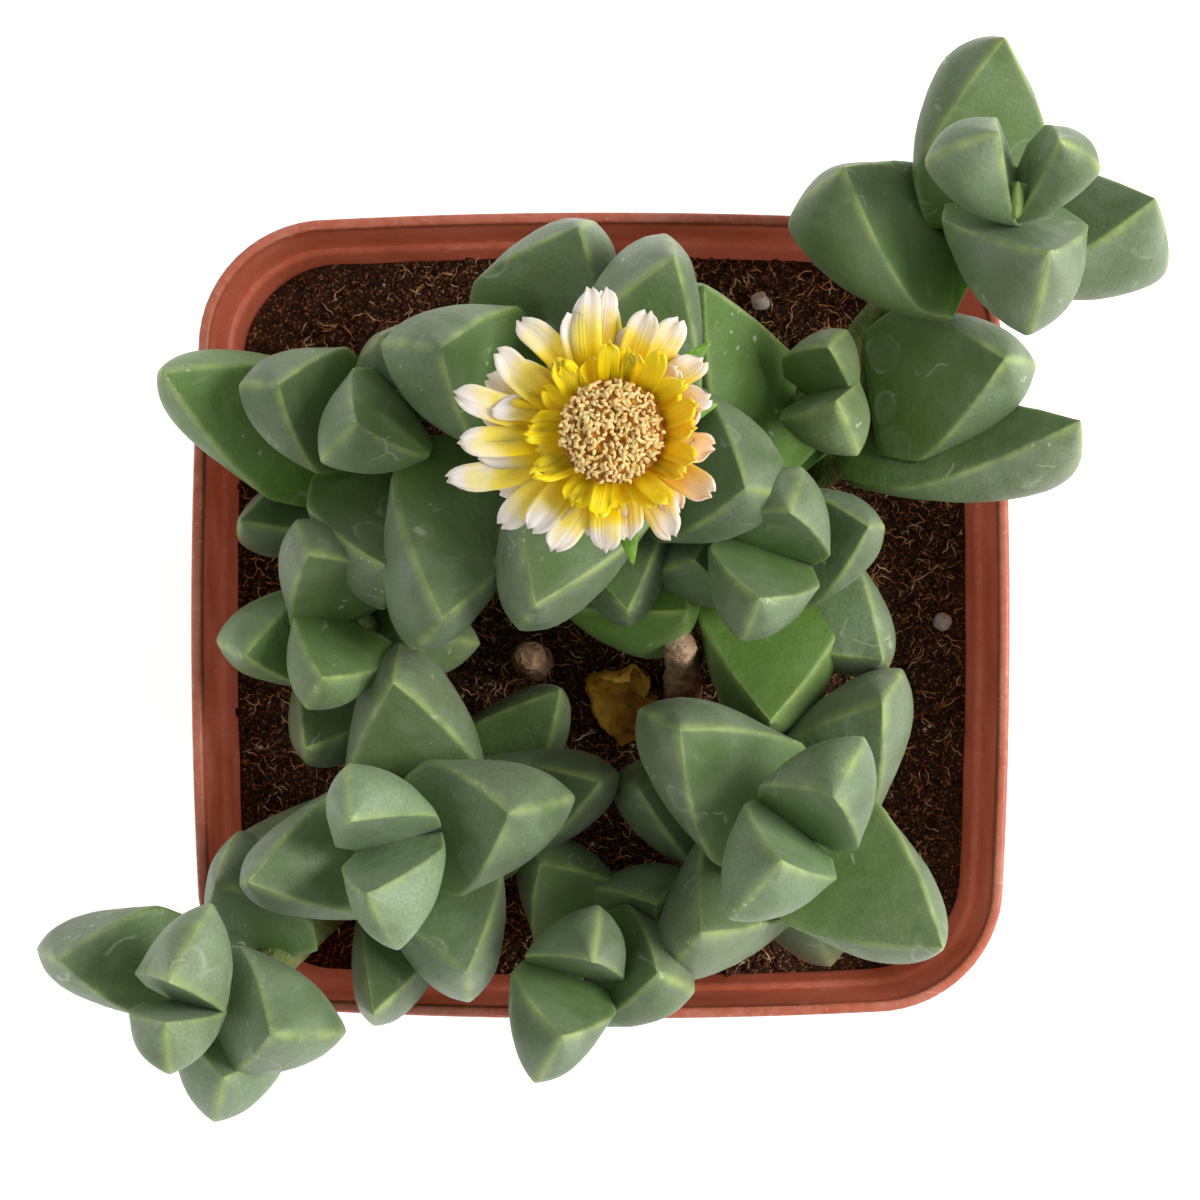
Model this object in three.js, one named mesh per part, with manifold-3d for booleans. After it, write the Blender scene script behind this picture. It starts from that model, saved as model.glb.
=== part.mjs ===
// Potted Corpuscularia lehmannii, an ice plant with three-sided succulent leaves.
// A square plastic pot with peat, ten leafy shoots, a woody trunk, a dry leaf and one open flower.
// Millimetres, +Z up. The origin is the middle of the pot's base.
import * as THREE from "three";
import { mergeVertices } from "three/addons/utils/BufferGeometryUtils.js";
import Module from "manifold-3d";

const wasm = await Module();
wasm.setup();

// Pot
const rimHalf = 41; // half the width across the rim, an 82 mm pot
const rimCorner = 13;
const rimHeight = 78;
const sideBow = 0.7; // how far the middle of a side bows out past its ends
const pressed = 0.985; // depth front to back as a share of the width
const lip = 0.8;
const bandHeight = 12; // the thicker band below the lip
const bandStep = 1.9; // how far the band stands out from the wall
const baseHalf = 30;
const baseCorner = 9;
const wall = 1;
const floorTop = 2.4;
const drainRadius = 3;
const drainPlace = 15.5;
// Soil
const soilTop = 64;
const soilLump = 0.7;
const gap = 0.3; // clearance between pieces that touch
// Shoots
const stemRadius = 1.7;
const leafDepthShare = 0.74; // keel depth as a share of leaf width
// Old wood and the dry leaf
const woodRadius = 2;
const dryLeafThickness = 0.8;
// Flower
const flowerAt = [1.5, 16.1]; // plan place of its middle
const pedicelFoot = 98.5;
const pedicelRadius = 1.3;
const calyxTop = 113.5;
const calyxRadius = 4.8;
const ringHeight = 0.9; // each ring of petals has a thin disc in its middle
const outerRingRadius = 4.4;
const innerRingRadius = 3.8;
const petalThickness = 0.9;
const stamenCount = 38;
const stamenReach = 4.4;
// The place of the eye from which leaf tips and stem nodes are read
const eye = [4, -4, rimHeight + 400];

const vec = (x, y, z) => new THREE.Vector3(x, y, z);

// A leaf tip or stem node is listed by where it shows in the rim's plane from the eye, and by
// its real height. This gives its real place.
function placed(x, y, z) {
  const share = (eye[2] - z) / (eye[2] - rimHeight);
  return vec(eye[0] + (x - eye[0]) * share, eye[1] + (y - eye[1]) * share, z);
}

// A closed solid through a list of rings with the same number of points, ended by two points.
function loft(start, rings, end) {
  const points = [start, ...rings.flat(), end];
  const around = rings[0].length;
  const index = [];
  const at = (ring, i) => 1 + ring * around + (i % around);
  for (let i = 0; i < around; i++) {
    index.push(0, at(0, i + 1), at(0, i));
    for (let r = 0; r + 1 < rings.length; r++) {
      index.push(at(r, i), at(r, i + 1), at(r + 1, i + 1));
      index.push(at(r, i), at(r + 1, i + 1), at(r + 1, i));
    }
    index.push(at(rings.length - 1, i), at(rings.length - 1, i + 1), points.length - 1);
  }
  return solidFrom(points, index);
}

// A manifold solid from points and triangles, turned so that its faces point out.
function solidFrom(points, index) {
  const vertProperties = new Float32Array(points.flatMap((p) => [p.x, p.y, p.z]));
  const make = (tris) =>
    new wasm.Manifold(
      new wasm.Mesh({ numProp: 3, vertProperties, triVerts: new Uint32Array(tris) }),
    );
  const solid = make(index);
  if (solid.volume() > 0) return solid;
  const flipped = [];
  for (let i = 0; i < index.length; i += 3) flipped.push(index[i], index[i + 2], index[i + 1]);
  return make(flipped);
}

// A three.js geometry as a manifold solid.
function solidOf(geometry) {
  const bare = new THREE.BufferGeometry().setAttribute("position", geometry.attributes.position);
  const merged = mergeVertices(geometry.index ? bare.setIndex(geometry.index) : bare, 1e-4);
  const { array, count } = merged.attributes.position;
  const points = Array.from({ length: count }, (_, i) => vec(...array.slice(3 * i, 3 * i + 3)));
  return solidFrom(points, Array.from(merged.index.array));
}

const unionOf = (solids) => solids.reduce((sum, next) => sum.add(next));

const largestBody = (solid) =>
  solid.decompose().reduce((best, body) => (body.volume() > best.volume() ? body : best));

// Rounded square ring. The soft sides bow out a little between the corners, and the pot is
// slightly narrower from front to back.
const cornerSteps = 5;
function squareRing(half, corner, z) {
  const ring = [];
  const bow = sideBow * (half / rimHalf);
  for (let quarter = 0; quarter < 4; quarter++) {
    const turn = (quarter * Math.PI) / 2;
    const mid = Math.SQRT2 * (half - bow - corner);
    const cx = mid * Math.cos(turn + Math.PI / 4);
    const cy = mid * Math.sin(turn + Math.PI / 4);
    ring.push(vec(half * Math.cos(turn), half * Math.sin(turn) * pressed, z));
    for (let step = 0; step <= cornerSteps; step++) {
      const angle = turn + (step / cornerSteps) * (Math.PI / 2);
      const y = cy + corner * Math.sin(angle);
      ring.push(vec(cx + corner * Math.cos(angle), y * pressed, z));
    }
  }
  return ring;
}

// Half width of the outside of the pot's wall at a height
function wallHalf(z) {
  const top = rimHeight - bandHeight;
  return baseHalf + ((rimHalf - bandStep - 0.4 - baseHalf) * z) / top;
}
const wallCorner = (z) => baseCorner + ((rimCorner - bandStep - baseCorner) * z) / rimHeight;

// The pot as one body. grown swells its wall, to cut leaves clear of it.
function makePot(grown = 0) {
  const outside = (half, corner, z) => squareRing(half + grown, corner + grown, z);
  const inside = (half, corner, z) => squareRing(half - grown, corner - grown, z);
  const bandFoot = rimHeight - bandHeight;
  const ledge = bandFoot + 1.6 + grown;
  const top = rimHeight + grown;
  const outer = [
    squareRing(7, 3, 0),
    squareRing(8, 4, 1),
    squareRing(24, 7, 1),
    squareRing(25, 7.5, 0),
    outside(baseHalf - 0.8, baseCorner - 0.6, 0),
    outside(wallHalf(0.8), baseCorner, 0.8),
    outside(wallHalf(bandFoot), wallCorner(bandFoot), bandFoot - grown),
    outside(rimHalf - 0.4, rimCorner - 0.4, bandFoot + 0.3 - grown),
    outside(rimHalf, rimCorner, top - 0.4),
    outside(rimHalf - 0.2, rimCorner - 0.2, top),
  ];
  const inner = [
    inside(rimHalf - lip, rimCorner - lip, top),
    inside(rimHalf - 1.3, rimCorner - 1.3, ledge + 0.4),
    inside(rimHalf - 1.5, rimCorner - 1.5, ledge),
    inside(wallHalf(ledge) - wall, wallCorner(ledge) - wall, ledge - 0.3),
    inside(wallHalf(floorTop) - wall, baseCorner - wall, floorTop + grown),
  ];
  let pot = loft(vec(0, 0, 0), [...outer, ...inner], vec(0, 0, floorTop + grown));
  for (const [x, y] of [[1, 1], [1, -1], [-1, 1], [-1, -1], [1, 0], [-1, 0], [0, 1], [0, -1]]) {
    const hole = new THREE.CylinderGeometry(drainRadius, drainRadius, 6, 10);
    hole.rotateX(Math.PI / 2).translate(x * drainPlace, y * drainPlace, 1);
    pot = pot.subtract(solidOf(hole));
  }
  return pot;
}

// Soil surface height, a gently lumpy peat
function soilHeight(x, y) {
  const lumps =
    Math.sin(0.42 * x + 1.3) * Math.cos(0.37 * y - 0.6) + 0.6 * Math.sin(0.83 * x - 0.71 * y);
  return soilTop + soilLump * lumps * 0.55;
}

// The block of soil with holes for stems. raised lifts its surface, to cut leaves clear of it.
function makeSoil(stems, raised = 0) {
  const inside = (z) => squareRing(wallHalf(z) - wall - gap, wallCorner(z) - wall - gap, z);
  const rings = [inside(floorTop + gap), inside(soilTop - 1.2)];
  for (const share of [0.985, 0.75, 0.5, 0.25]) {
    const half = (wallHalf(soilTop) - wall - gap) * share;
    const ring = squareRing(half, (wallCorner(soilTop) - wall - gap) * share, 0);
    ring.forEach((p) => p.setZ(soilHeight(p.x, p.y) + raised));
    rings.push(ring);
  }
  let soil = loft(vec(0, 0, floorTop + gap), rings, vec(0, 0, soilHeight(0, 0) + raised));
  for (const stem of stems) soil = soil.subtract(stem);
  return soil;
}

// A round tube of a few flat sides through points, each with its own radius.
function tube(path, radii, sides) {
  const rings = path.map((p, i) => {
    const before = path[Math.max(0, i - 1)];
    const after = path[Math.min(path.length - 1, i + 1)];
    const along = after.clone().sub(before).normalize();
    const side = vec(0, 1, 0).cross(along).normalize();
    const up = along.clone().cross(side);
    return Array.from({ length: sides }, (_, k) => {
      const angle = (2 * Math.PI * k) / sides;
      return p
        .clone()
        .addScaledVector(side, radii[i] * Math.cos(angle))
        .addScaledVector(up, radii[i] * Math.sin(angle));
    });
  });
  return loft(path[0], rings, path[path.length - 1]);
}

// Leaf outline: half width and keel depth along the leaf, as shares of their largest values.
// The leaf is widest at a third of its length, and its keel is deepest near the tip, as a chin.
const widestAt = 0.36;
const chinAt = 0.72;
const rise = (low, share) => low + (1 - low) * Math.sin((Math.PI / 2) * Math.min(1, share));
function widthShare(s) {
  if (s < widestAt) return rise(0.8, Math.max(0, s) / widestAt);
  return 1 - ((s - widestAt) / (1 - widestAt)) ** 1.9;
}
function keelShare(s) {
  if (s < chinAt) return rise(0.62, Math.max(0, s) / chinAt);
  return 1 - ((s - chinAt) / (1 - chinAt)) ** 2.1;
}

// One three-sided leaf from its stem node to its tip. The flat inner face looks towards the
// shoot's own direction, and the other two faces meet in a keel on the far side. Where the
// chin of the keel can be seen, its place in plan sets the way the leaf faces and its depth.
const leafStations = [0, 0.22, 0.48, 0.7, 0.86, 0.955];
const leafBow = 0.12;
function leafFrame({ base, tip, heading, width, chin, roll = 0, depth = 1 }) {
  const along = tip.clone().sub(base).normalize();
  const length = tip.distanceTo(base);
  const bowAtChin = leafBow * length * chinAt * (1 - chinAt);
  const inner = heading.clone().projectOnPlane(along).normalize();
  let keel = width * leafDepthShare * depth;
  if (chin) {
    const from = vec(...eye);
    const sight = vec(chin[0], chin[1], rimHeight).sub(from);
    const middle = base.clone().addScaledVector(along, chinAt * length);
    const step = middle.clone().sub(from).dot(along) / sight.dot(along);
    const out = from.addScaledVector(sight, step).sub(middle);
    inner.copy(out).normalize().negate();
    keel = THREE.MathUtils.clamp(out.length() - bowAtChin, 0.5 * width, 0.95 * width);
  }
  inner.applyAxisAngle(along, THREE.MathUtils.degToRad(roll));
  return { along, length, inner, keel, side: along.clone().cross(inner) };
}

function leafSolid(leaf, grown = 0) {
  const { node, base, tip, width } = leaf;
  const { along, length, inner, keel, side } = leafFrame(leaf);
  const ring = (centre, w, k) => {
    const flat = 0.05 * w;
    const corners = [
      [w + grown, grown * 0.5],
      [0, flat + grown],
      [-w - grown, grown * 0.5],
      [-0.8 * w - grown * 0.9, -0.63 * k - grown * 0.6],
      [0, -k - grown * 1.2],
      [0.8 * w + grown * 0.9, -0.63 * k - grown * 0.6],
    ];
    return corners.map(([a, b]) =>
      centre.clone().addScaledVector(side, a).addScaledVector(inner, b),
    );
  };
  const half = width / 2;
  const rings = [ring(node.clone().lerp(base, 0.2), half * 0.5, keel * 0.3)];
  for (const s of leafStations) {
    const bow = -leafBow * length * s * (1 - s);
    const centre = base.clone().addScaledVector(along, s * length).addScaledVector(inner, bow);
    rings.push(ring(centre, half * widthShare(s), keel * keelShare(s)));
  }
  const end = tip.clone().addScaledVector(along, grown * 1.5);
  return loft(node.clone().addScaledVector(along, -0.6 - grown), rings, end);
}

// The shoots. nodes run from the youngest down to the foot in the soil, as plan x, plan y, height.
// leaves give the stem node that a leaf grows from (0 is the youngest), its tip as plan x, plan y
// and height, and its width. base is where the leaf swells, if that is clear of the stem. chin is
// the plan place of its chin, and otherwise heading, roll in degrees and depth can turn it.
const shoots = {
  shoot_flower: {
    nodes: [[1, 18, 97], [0.8, 17.6, 90], [0.5, 17, 83.5], [0.8, 15, 77], [3, 6, 69], [4, 2, 61]],
    leaves: [
      { node: 0, tip: [6, 36.7, 106], width: 15, chin: [5.7, 38.8] },
      { node: 0, tip: [-6.5, 1, 106], width: 15, chin: [-8.2, -1.5] },
      { node: 1, base: [-7.5, 22.5, 91], tip: [-15.9, 26.7, 104], width: 15, chin: [-21.7, 27] },
      { node: 1, base: [5, 16, 90], tip: [14.5, 12.7, 103], width: 16, chin: [16.8, 12.4] },
      { node: 2, base: [-5, 27, 87], tip: [-2.2, 38.8, 95], width: 15, depth: 0.8 },
      { node: 2, tip: [2.7, 0.4, 93], width: 13 },
      { node: 2, base: [-12.5, 16, 89], tip: [-15.8, -0.3, 102], width: 15.5, chin: [-17.8, -3.5] },
      { node: 3, base: [-1, 9, 81], tip: [8.6, 0.5, 87], width: 17 },
      { node: 3, base: [-12, 24, 84], tip: [-22, 28, 92], width: 13, depth: 0.8 },
      { node: 3, tip: [12, 30, 86], width: 13, depth: 0.8 },
    ],
  },
  shoot_corner_right: {
    nodes: [
      [41.5, 43.2, 99], [40.5, 41, 93.5], [38.5, 39, 88], [33, 34, 84], [26.3, 27, 81.5],
      [24.5, 18, 79.5], [21, 14, 72], [17, 11, 61],
    ],
    leaves: [
      { node: 0, tip: [41.8, 43.4, 107], width: 4.5, heading: [0, 1, 0.6] },
      { node: 0, tip: [39, 48, 112], width: 10.5, chin: [32.3, 45.7] },
      { node: 0, tip: [45.8, 47.7, 112], width: 10.5, chin: [49.4, 44.5] },
      { node: 1, tip: [45, 36.5, 109], width: 15.5, chin: [42.8, 27.7] },
      { node: 2, tip: [40.5, 57.8, 96], width: 15.5, depth: 0.8, roll: -18 },
      { node: 2, base: [35.5, 35.5, 88], tip: [24.5, 44.8, 99], width: 18, chin: [19.1, 38.3] },
      { node: 2, tip: [55.5, 41.7, 97], width: 15, chin: [55.6, 33.5] },
      { node: 4, base: [27.5, 23.5, 84], tip: [40.5, 25.3, 96], width: 18, chin: [42.6, 25.2] },
      { node: 5, base: [26, 17.4, 81], tip: [48, 19.5, 95], width: 13, depth: 0.85, roll: -18 },
      { node: 5, base: [20, 14.5, 79.5], tip: [10.5, 33, 94], width: 14 },
    ],
  },
  shoot_axil: {
    nodes: [[21.2, 22, 88], [21.4, 20.5, 84], [22, 19, 81]],
    leaves: [
      { node: 0, tip: [22.8, 26.7, 96], width: 8.5, chin: [24, 27.5] },
      { node: 0, tip: [23.6, 21.5, 97], width: 9, chin: [25.8, 15.8] },
    ],
  },
  shoot_front_left: {
    nodes: [[-20, -22.5, 95], [-18.5, -22, 87.5], [-17.5, -22, 80.5], [-16.5, -22, 74], [-15, -21, 61]],
    leaves: [
      { node: 0, tip: [-25, -20.7, 107], width: 11, chin: [-25, -14.8] },
      { node: 0, tip: [-23.4, -27.8, 106], width: 11, chin: [-20, -33.5] },
      { node: 1, tip: [-9.2, -19.9, 101], width: 14, chin: [-2.6, -18.2] },
      { node: 1, tip: [-35.2, -26.7, 97], width: 14, depth: 0.9 },
      { node: 2, tip: [-20.7, -6.8, 94], width: 15, chin: [-19.6, -3.2] },
      { node: 2, tip: [-13.2, -35.3, 92], width: 14, chin: [-13.4, -38] },
      { node: 3, tip: [0, -16.7, 88], width: 13, depth: 0.9 },
      { node: 3, tip: [-37, -25.5, 87], width: 13 },
      { node: 3, tip: [-22.7, -39.8, 87], width: 12 },
      { node: 3, tip: [-4, -7.5, 80], width: 13 },
    ],
  },
  shoot_front_right: {
    nodes: [[19.7, -21.4, 95], [19, -21.7, 87], [18.5, -22.1, 79.5], [18.2, -22.4, 72.5], [18, -22.5, 61]],
    leaves: [
      { node: 0, tip: [23.3, -18.2, 107.5], width: 11.5, chin: [26.3, -12.2] },
      { node: 0, tip: [18.2, -24.5, 107], width: 11.5, chin: [12.7, -30.5] },
      { node: 1, tip: [8, -11.5, 100.5], width: 15, chin: [4.3, -10] },
      { node: 1, tip: [34.2, -33.2, 95], width: 15.5, depth: 0.75 },
      { node: 2, tip: [10.1, -31.7, 94], width: 13.5, chin: [6.3, -36] },
      { node: 2, tip: [28.2, -8.8, 93], width: 13.5, chin: [29.7, -6] },
      { node: 3, tip: [4, -17.5, 84], width: 14 },
      { node: 3, tip: [22, -32, 82], width: 12 },
    ],
  },
  shoot_right: {
    nodes: [[16.8, 6.4, 91], [17, 6.2, 84], [17.3, 5.5, 78], [17.5, 5, 72], [17, 3.5, 61]],
    leaves: [
      { node: 0, tip: [19, 10.2, 102], width: 11.5, chin: [19.8, 13.9] },
      { node: 0, tip: [16, 1.7, 102], width: 11.5, chin: [14, -2.7] },
      { node: 1, tip: [26.8, 8.8, 92], width: 12.5, chin: [27.4, 8.6] },
      { node: 1, tip: [9.5, 5.5, 92], width: 11 },
      { node: 2, tip: [17, -10.6, 88], width: 16 },
      { node: 2, tip: [28.2, -4.5, 85], width: 13 },
    ],
  },
  shoot_corner_left: {
    nodes: [
      [-41.8, -38.7, 95], [-38.8, -38.5, 89], [-35.8, -37.5, 84.5], [-32.5, -34.5, 81.5],
      [-28, -30, 74], [-26, -28, 61],
    ],
    leaves: [
      { node: 0, tip: [-43.2, -36.7, 106], width: 9.8, chin: [-38.8, -28.8] },
      { node: 0, tip: [-43.5, -40.7, 106], width: 9.8, chin: [-43, -45.9] },
      { node: 1, tip: [-33, -42, 103], width: 13, chin: [-25.3, -41.5] },
      { node: 1, base: [-41, -35, 88], tip: [-54.2, -34.5, 96], width: 11.5, chin: [-55.6, -33.2] },
      { node: 2, tip: [-37.6, -46.2, 96], width: 13, chin: [-38.5, -50.4] },
      { node: 3, tip: [-38.5, -27, 90], width: 12 },
    ],
  },
  shoot_front: {
    nodes: [[-3.3, -35.8, 86], [-1.5, -34.5, 80], [-0.5, -32, 75], [0.5, -28, 61]],
    leaves: [
      { node: 0, tip: [-3.8, -42, 98], width: 11, chin: [-6.6, -46.6] },
      { node: 0, tip: [-0.8, -34.7, 98], width: 10, chin: [-0.2, -28.8] },
      { node: 1, tip: [5.7, -35.8, 92], width: 13, chin: [9.2, -37.6] },
      { node: 2, tip: [5.6, -29, 84], width: 10 },
      { node: 2, tip: [-6, -25, 83], width: 11 },
    ],
  },
  shoot_back_left: {
    nodes: [[-19.5, 21, 91], [-22, 19.5, 86], [-23, 17, 80], [-19, 15, 73], [-15, 12, 61]],
    leaves: [
      { node: 0, tip: [-24.3, 19.3, 102], width: 11.5, chin: [-27.9, 15.2] },
      { node: 1, base: [-24.5, 19.5, 86], tip: [-32.2, 23, 97], width: 13, chin: [-36.1, 22.8] },
      { node: 1, base: [-24, 14.5, 85], tip: [-21.5, 5, 95], width: 12 },
      { node: 2, base: [-25, 15.8, 81], tip: [-43.8, 24.3, 92], width: 14.5, depth: 0.9 },
      { node: 3, tip: [-36, 9.5, 84], width: 12 },
    ],
  },
  shoot_left: {
    nodes: [[-24.8, -0.6, 85], [-23.5, -1.5, 79.5], [-22, -2, 74], [-19, -2.5, 61]],
    leaves: [
      { node: 0, tip: [-29.2, 6, 95], width: 11, chin: [-30.1, 9.3] },
      { node: 0, tip: [-27.8, -6.2, 96], width: 11, chin: [-28.8, -8.4] },
      { node: 1, tip: [-35.6, -4.1, 89], width: 12, chin: [-37.7, -2.2] },
      { node: 1, tip: [-17, -2, 88], width: 11 },
      { node: 2, tip: [-29.5, -13.3, 84], width: 13, chin: [-28.2, -14.4] },
      { node: 2, tip: [-23, 8, 82], width: 12 },
    ],
  },
};

const stemSides = 7;
function stemSolid(nodes, grown) {
  const path = nodes.map((n) => placed(...n));
  const radii = path.map((_, i) => stemRadius + 0.12 * i + grown);
  return tube(path, radii, stemSides);
}

// The leaves of a shoot with real places. A leaf's foot is its stem node unless base is given.
// Inner faces look between the stem's direction and straight up, unless heading is given.
const upShare = 0.6;
function shootPieces({ nodes, leaves }) {
  const path = nodes.map((n) => placed(...n));
  return leaves.map(({ node, base, tip, heading, ...rest }) => {
    const stem = path[node].clone().sub(path[node + 1]).normalize();
    return {
      node: path[node],
      base: base ? placed(...base) : path[node],
      tip: placed(...tip),
      heading: heading ? vec(...heading).normalize() : stem.add(vec(0, 0, upShare)).normalize(),
      ...rest,
    };
  });
}

// A thin blade through stations, each with its centre, its side and up directions, half its width
// and its thickness. lift raises its two edges.
function blade(stations, tip) {
  const rings = stations.map(({ centre, side, up, half, thick, lift = 0 }) => {
    const corners = [
      [half, lift],
      [0, thick / 2],
      [-half, lift],
      [0, -thick / 2],
    ];
    return corners.map(([a, b]) => centre.clone().addScaledVector(side, a).addScaledVector(up, b));
  });
  return loft(stations[0].centre, rings, tip);
}

// The flower's petals: azimuth of each tip in degrees and its reach in plan from the middle.
const outerPetals = [
  [-57, 11], [-32, 10.7], [-13, 9.4], [10, 8.6], [29, 9.4], [45, 10.6], [60, 12], [76, 11.4],
  [91, 12.8], [101, 13], [110, 13.1], [121, 13.3], [142, 11.4], [153, 12.8], [163, 12.6],
  [170, 14.9], [185, 14.1], [204, 15.6], [217, 13.3], [228, 11.6], [239, 11.2], [249, 12],
  [264, 10.9], [283, 9.8],
];
const innerPetalCount = 18;
const innerPetalReach = 7.6;
// The flower leans, so the petals on its right stand up more.
const petalRise = (azimuth) => 20 + 12 * Math.cos(THREE.MathUtils.degToRad(azimuth - 15));
// How far petals swing in turn, above and below their own circle
const swing = [0, 6, -5, 3, 8, -3];

function petal({ azimuth, rise: lifted, foot, footHeight, reach, half, droop }) {
  const turn = THREE.MathUtils.degToRad(azimuth);
  const climb = Math.tan(THREE.MathUtils.degToRad(lifted));
  const point = (s) => {
    const r = foot + (reach - foot) * s;
    const height = footHeight + (r - foot) * climb - droop * s * s;
    return vec(flowerAt[0] + r * Math.cos(turn), flowerAt[1] + r * Math.sin(turn), height);
  };
  const side = vec(-Math.sin(turn), Math.cos(turn), 0);
  const shares = [[0, 0.55], [0.4, 0.95], [0.75, 1], [0.95, 0.6]];
  const stations = shares.map(([s, share]) => {
    const along = point(s + 0.02).sub(point(s - 0.02)).normalize();
    const up = along.clone().cross(side);
    return { centre: point(s), side, up, half: half * share, thick: petalThickness };
  });
  return blade(stations, point(1));
}

// A flat disc of the flower
function disc(radius, low, high) {
  const shape = new THREE.CylinderGeometry(radius, radius, high - low, 20);
  shape.rotateX(Math.PI / 2).translate(flowerAt[0], flowerAt[1], (low + high) / 2);
  return solidOf(shape);
}

// The stalk, cup and sepals of the flower. Each sepal has an azimuth and a reach in plan.
const sepals = [[-81, 12.2], [44, 12.7], [17, 10.2], [118, 8.6], [190, 9]];
function makeCalyx(grown) {
  const foot = placed(1, 18, pedicelFoot - grown);
  const at = (z) => vec(flowerAt[0], flowerAt[1], z);
  const path = [foot, at(calyxTop - 5), at(calyxTop - 2.2), at(calyxTop + grown)];
  const radii = [pedicelRadius, pedicelRadius, 3.6, calyxRadius].map((r) => r + grown);
  let solid = tube(path, radii, 12);
  for (const [azimuth, reach] of sepals) {
    const turn = THREE.MathUtils.degToRad(azimuth);
    const point = (s) => {
      const r = 3 + (reach - 3) * s;
      return at(calyxTop - 1.5 - 1.2 * s * s).add(vec(r * Math.cos(turn), r * Math.sin(turn), 0));
    };
    const side = vec(-Math.sin(turn), Math.cos(turn), 0);
    const stations = [[0, 1], [0.45, 0.85], [0.8, 0.4]].map(([s, share]) => ({
      centre: point(s),
      side,
      up: vec(0, 0, 1),
      half: 1.9 * share + grown,
      thick: 1.1 + 2 * grown,
    }));
    solid = solid.add(blade(stations, point(1 + 0.05 * grown)));
  }
  return solid;
}

function makeOuterPetals() {
  const low = calyxTop + gap;
  const petals = outerPetals.map(([azimuth, reach], i) =>
    petal({
      azimuth,
      rise: petalRise(azimuth) + swing[i % swing.length],
      foot: outerRingRadius - 1,
      footHeight: low + ringHeight / 2,
      reach,
      half: 1.35,
      droop: 1.2,
    }),
  );
  return unionOf([disc(outerRingRadius, low, low + ringHeight), ...petals]);
}

function makeInnerPetals() {
  const low = calyxTop + ringHeight + 2 * gap;
  const petals = [];
  for (let i = 0; i < innerPetalCount; i++) {
    const azimuth = (360 * i) / innerPetalCount + swing[(i * 5) % swing.length] * 0.6;
    petals.push(
      petal({
        azimuth,
        rise: petalRise(azimuth) + 24 + swing[i % swing.length] * 0.4,
        foot: innerRingRadius - 0.9,
        footHeight: low + ringHeight / 2,
        reach: innerPetalReach + swing[(i * 7) % swing.length] * 0.08,
        half: 0.85,
        droop: 0.3,
      }),
    );
  }
  return unionOf([disc(innerRingRadius, low, low + ringHeight), ...petals]);
}

// Each stamen leans out from the middle, and they are spread evenly by the golden angle.
function makeStamens() {
  const low = calyxTop + 2 * ringHeight + 3 * gap;
  const parts = [disc(innerRingRadius - 0.8, low, low + ringHeight)];
  const golden = Math.PI * (3 - Math.sqrt(5));
  for (let i = 0; i < stamenCount; i++) {
    const share = Math.sqrt((i + 0.5) / stamenCount);
    const turn = i * golden;
    const out = vec(Math.cos(turn), Math.sin(turn), 0);
    const foot = vec(flowerAt[0], flowerAt[1], low + 0.2).addScaledVector(out, share * 2.5);
    const head = vec(flowerAt[0], flowerAt[1], low + 4.4 - share + 0.08 * swing[i % swing.length]);
    head.addScaledVector(out, share * stamenReach);
    const neck = foot.clone().lerp(head, 0.72);
    parts.push(tube([foot, neck, head], [0.34, 0.34, 0.5], 3));
  }
  return largestBody(unionOf(parts));
}

// The dried leaf: a ribbon that curls round its own length.
function makeDryLeaf() {
  const middles = [
    [3.8, -12.6, 64.8], [3.4, -10.6, 65.6], [2.4, -8.4, 67], [2, -6.6, 69.4], [2.8, -5.6, 72],
  ];
  const halves = [1.3, 2.9, 3.3, 2.7, 1.4];
  const path = middles.map((m) => placed(...m));
  const stations = path.map((centre, i) => {
    const along = path[Math.min(i + 1, 4)].clone().sub(path[Math.max(i - 1, 0)]).normalize();
    const side = vec(1, 0.25 * Math.sin(1.7 * i), 0.2 * Math.cos(2.1 * i)).projectOnPlane(along);
    side.normalize();
    const up = side.clone().cross(along);
    return { centre, side, up, half: halves[i], thick: dryLeafThickness, lift: 1.1 };
  });
  return blade(stations, placed(3.4, -5.2, 74));
}

// A grain of perlite with a flat underside, lying on the soil.
function makeGrain(x, y, radius) {
  const grain = new THREE.SphereGeometry(radius, 7, 5);
  grain.rotateX(Math.PI / 2);
  const place = grain.attributes.position;
  const flat = -0.6 * radius;
  for (let i = 0; i < place.count; i++) place.setZ(i, Math.max(flat, place.getZ(i)));
  const spot = placed(x, y, soilTop);
  grain.translate(spot.x, spot.y, soilHeight(spot.x, spot.y) + gap - flat);
  return solidOf(grain);
}

const group = new THREE.Group();

function addPiece(name, solid, color, roughness) {
  const mesh = solid.getMesh();
  const geometry = new THREE.BufferGeometry();
  geometry.setAttribute("position", new THREE.BufferAttribute(mesh.vertProperties, 3));
  geometry.setIndex(new THREE.BufferAttribute(mesh.triVerts, 1));
  geometry.computeVertexNormals();
  const material = new THREE.MeshStandardMaterial({ color, roughness, metalness: 0 });
  const piece = new THREE.Mesh(geometry, material);
  piece.name = name;
  group.add(piece);
}

const cutBy = (solid, others) => others.reduce((rest, other) => rest.subtract(other), solid);
const cutClear = (solid, others) => largestBody(cutBy(solid, others));
// The old wood: plan x, plan y and height down its middle, from its top
const wood = {
  woody_stem: [[8, -3, 82], [8.2, -6, 72], [8.3, -8.5, 61]],
  woody_stem_left: [[-7, -4, 74], [-7, -4.5, 68], [-6, -5, 61]],
};
const woodSolid = (nodes, grown) => {
  const path = nodes.map((n) => placed(...n));
  const radii = path.map((_, i) => woodRadius * (0.75 + 0.15 * i) + grown);
  return tube(path, radii, 8);
};
const stems = Object.values(shoots).map(({ nodes }) => stemSolid(nodes, gap));
const feet = Object.values(wood).map((nodes) => woodSolid(nodes, gap));

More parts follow.
